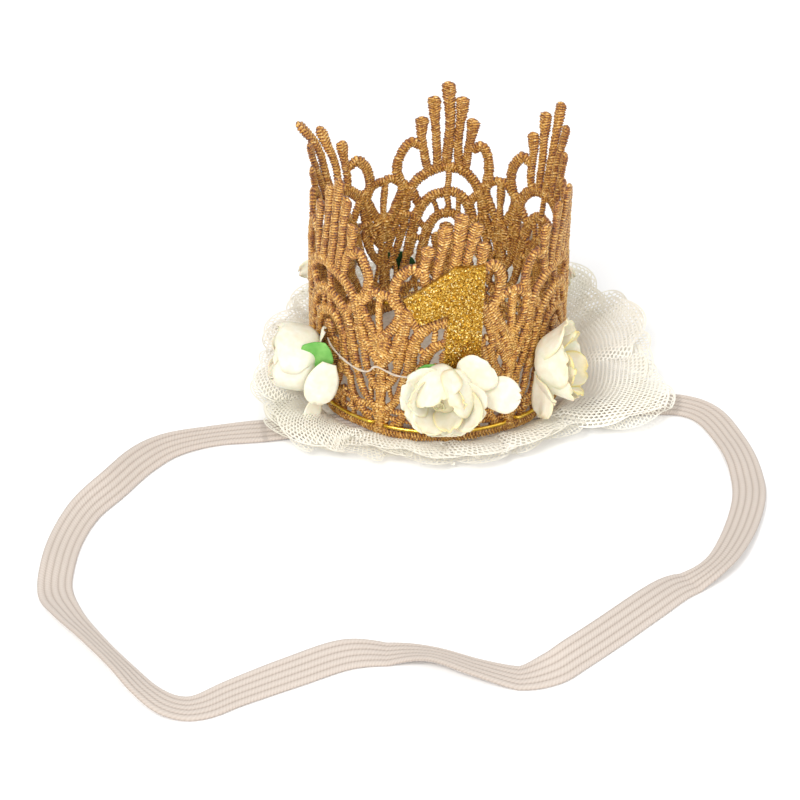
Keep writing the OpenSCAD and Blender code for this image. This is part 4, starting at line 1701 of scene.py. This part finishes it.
@dataclass
class Studio:
    """The pale floor, the soft lights and the camera at the photograph's angle.

    The floor's side and the place that the lights face are in metres.
    """

    aim: tuple = (-9.6, -12.2, 1.5)
    distance: float = 650.0
    elevation: float = 33.8
    lens: float = 115.2
    sensor: float = 36.0
    sky: float = 0.72
    floor_m: float = 6.0
    lit: tuple = (0.0, 0.0, 0.03)
    # Name, place in metres, side in metres and power in watts.
    lights: tuple = (
        ("key_light", (-0.45, -0.8, 0.95), 0.4, 8.5),
        ("fill_light", (0.8, -0.5, 0.8), 1.0, 2.5),
        ("low_front_light", (0.1, -1.2, 0.5), 0.8, 4),
        ("back_light", (0.1, 0.9, 0.9), 0.8, 2.4),
    )

    def light(self, name: str, place: tuple, size: float, power: float) -> None:
        """Add a square area light that faces the crown.

        Args:
            name: The light's name.
            place: Where it stands, in metres.
            size: The length of its side in metres.
            power: Its power in watts.
        """
        data = bpy.data.lights.new(name, "AREA")
        data.size, data.energy = size, power
        lamp = bpy.data.objects.new(name, data)
        lamp.location = place
        lamp.rotation_euler = (Vector(self.lit) - Vector(place)).to_track_quat("-Z", "Y").to_euler()
        bpy.context.scene.collection.objects.link(lamp)

    def build(self) -> None:
        """Set the stage."""
        floor = primitive("plane", size=self.floor_m)
        floor.name = "pale_floor"
        floor.data.materials.append(FLOOR.material())
        bpy.context.scene.view_settings.view_transform = "Standard"
        world = bpy.data.worlds.new("studio")
        world.use_nodes = True
        sky = world.node_tree.nodes["Background"]
        sky.inputs["Color"].default_value = (1, 1, 1, 1)
        sky.inputs["Strength"].default_value = self.sky
        bpy.context.scene.world = world
        for name, place, size, power in self.lights:
            self.light(name, place, size, power)
        up = math.radians(self.elevation)
        aim = Vector(self.aim) * MM
        back = Vector((0, -math.cos(up), math.sin(up))) * self.distance * MM
        camera = bpy.data.objects.new("camera", bpy.data.cameras.new("camera"))
        camera.data.lens = self.lens
        camera.data.sensor_width = self.sensor
        camera.location = aim + back
        camera.rotation_euler = (-back).to_track_quat("-Z", "Y").to_euler()
        bpy.context.scene.collection.objects.link(camera)
        bpy.context.scene.camera = camera


def main() -> None:
    """Build the crown's pieces in order and set the stage."""
    logging.basicConfig(level=logging.INFO, format="%(name)s %(message)s")
    Studio().build()
    LaceCrown().build()
    FootWire().build()
    FeltBase().build()
    NetRuffle("lower_net", "ruffle_lower", False, 1.0, 15, 0.0, 2.2, 0.0, 0.09, bias=-0.4).build()
    NetRuffle("upper_net_back", "ruffle_upper", True, 0.86, 17, 1.0, 3.6, 1.6, 0.09, 1.6).build()
    NetRuffle("upper_net_front", None, True, 0.9, 12, 4.0, 4.6, 2.6, 0.12, 2.4, thread=0.42).build()
    ElasticBand().build()
    Numeral().build()
    roses = (
        PaperRose(
            "paper_rose_front", "rose_front", -83, 0.275, 12, -10, 0.95, FRONT_PETALS,
            in_front=1.4, shift=(1.2, -3.0), core_shift=(2.2, -1.2), core_r=1.7, core_h=5.6,
        ),
        PaperRose(
            "paper_rose_right", "rose_right", -44, 0.26, 12, 32, 0.92, RIGHT_PETALS, in_front=-1.0, yellow=0.4
        ),
        PaperRose("paper_rose_back_right", "rose_back_right", 46, 0.24, 14, 0, 0.9, full_rose(0)),
        PaperRose(
            "paper_rose_back_left", "rose_back_left", 140, 0.24, 14, 0, 0.92, full_rose(30), shift=(0.0, -4.5)
        ),
        PaperRose(
            "paper_rose_left", "rose_left", 210, 0.21, 14, -32, 0.92, LEFT_PETALS,
            wrinkle=0.3, bulb=(6.6, 6.6, 2.6),
        ),
    )
    for rose in roses:
        rose.build()
    leaves = (
        PaperLeaf("paper_leaf_front", "leaf_front", -95, 0.325, 30, LEAF, 7.5, 4.5),
        PaperLeaf("paper_leaf_left", "leaf_left", 217, 0.295, 60, LEAF, 9.0, 8.6, 37.6, 46),
        PaperLeaf("paper_leaf_back_left", "leaf_back_left", 106, 0.2, 35, BACK_LEAF),
        PaperLeaf("paper_leaf_back_right", "leaf_back_right", 62, 0.22, -30, BACK_LEAF),
    )
    for leaf in leaves:
        leaf.build()
    GlueString().build()


if __name__ == "__main__":
    main()
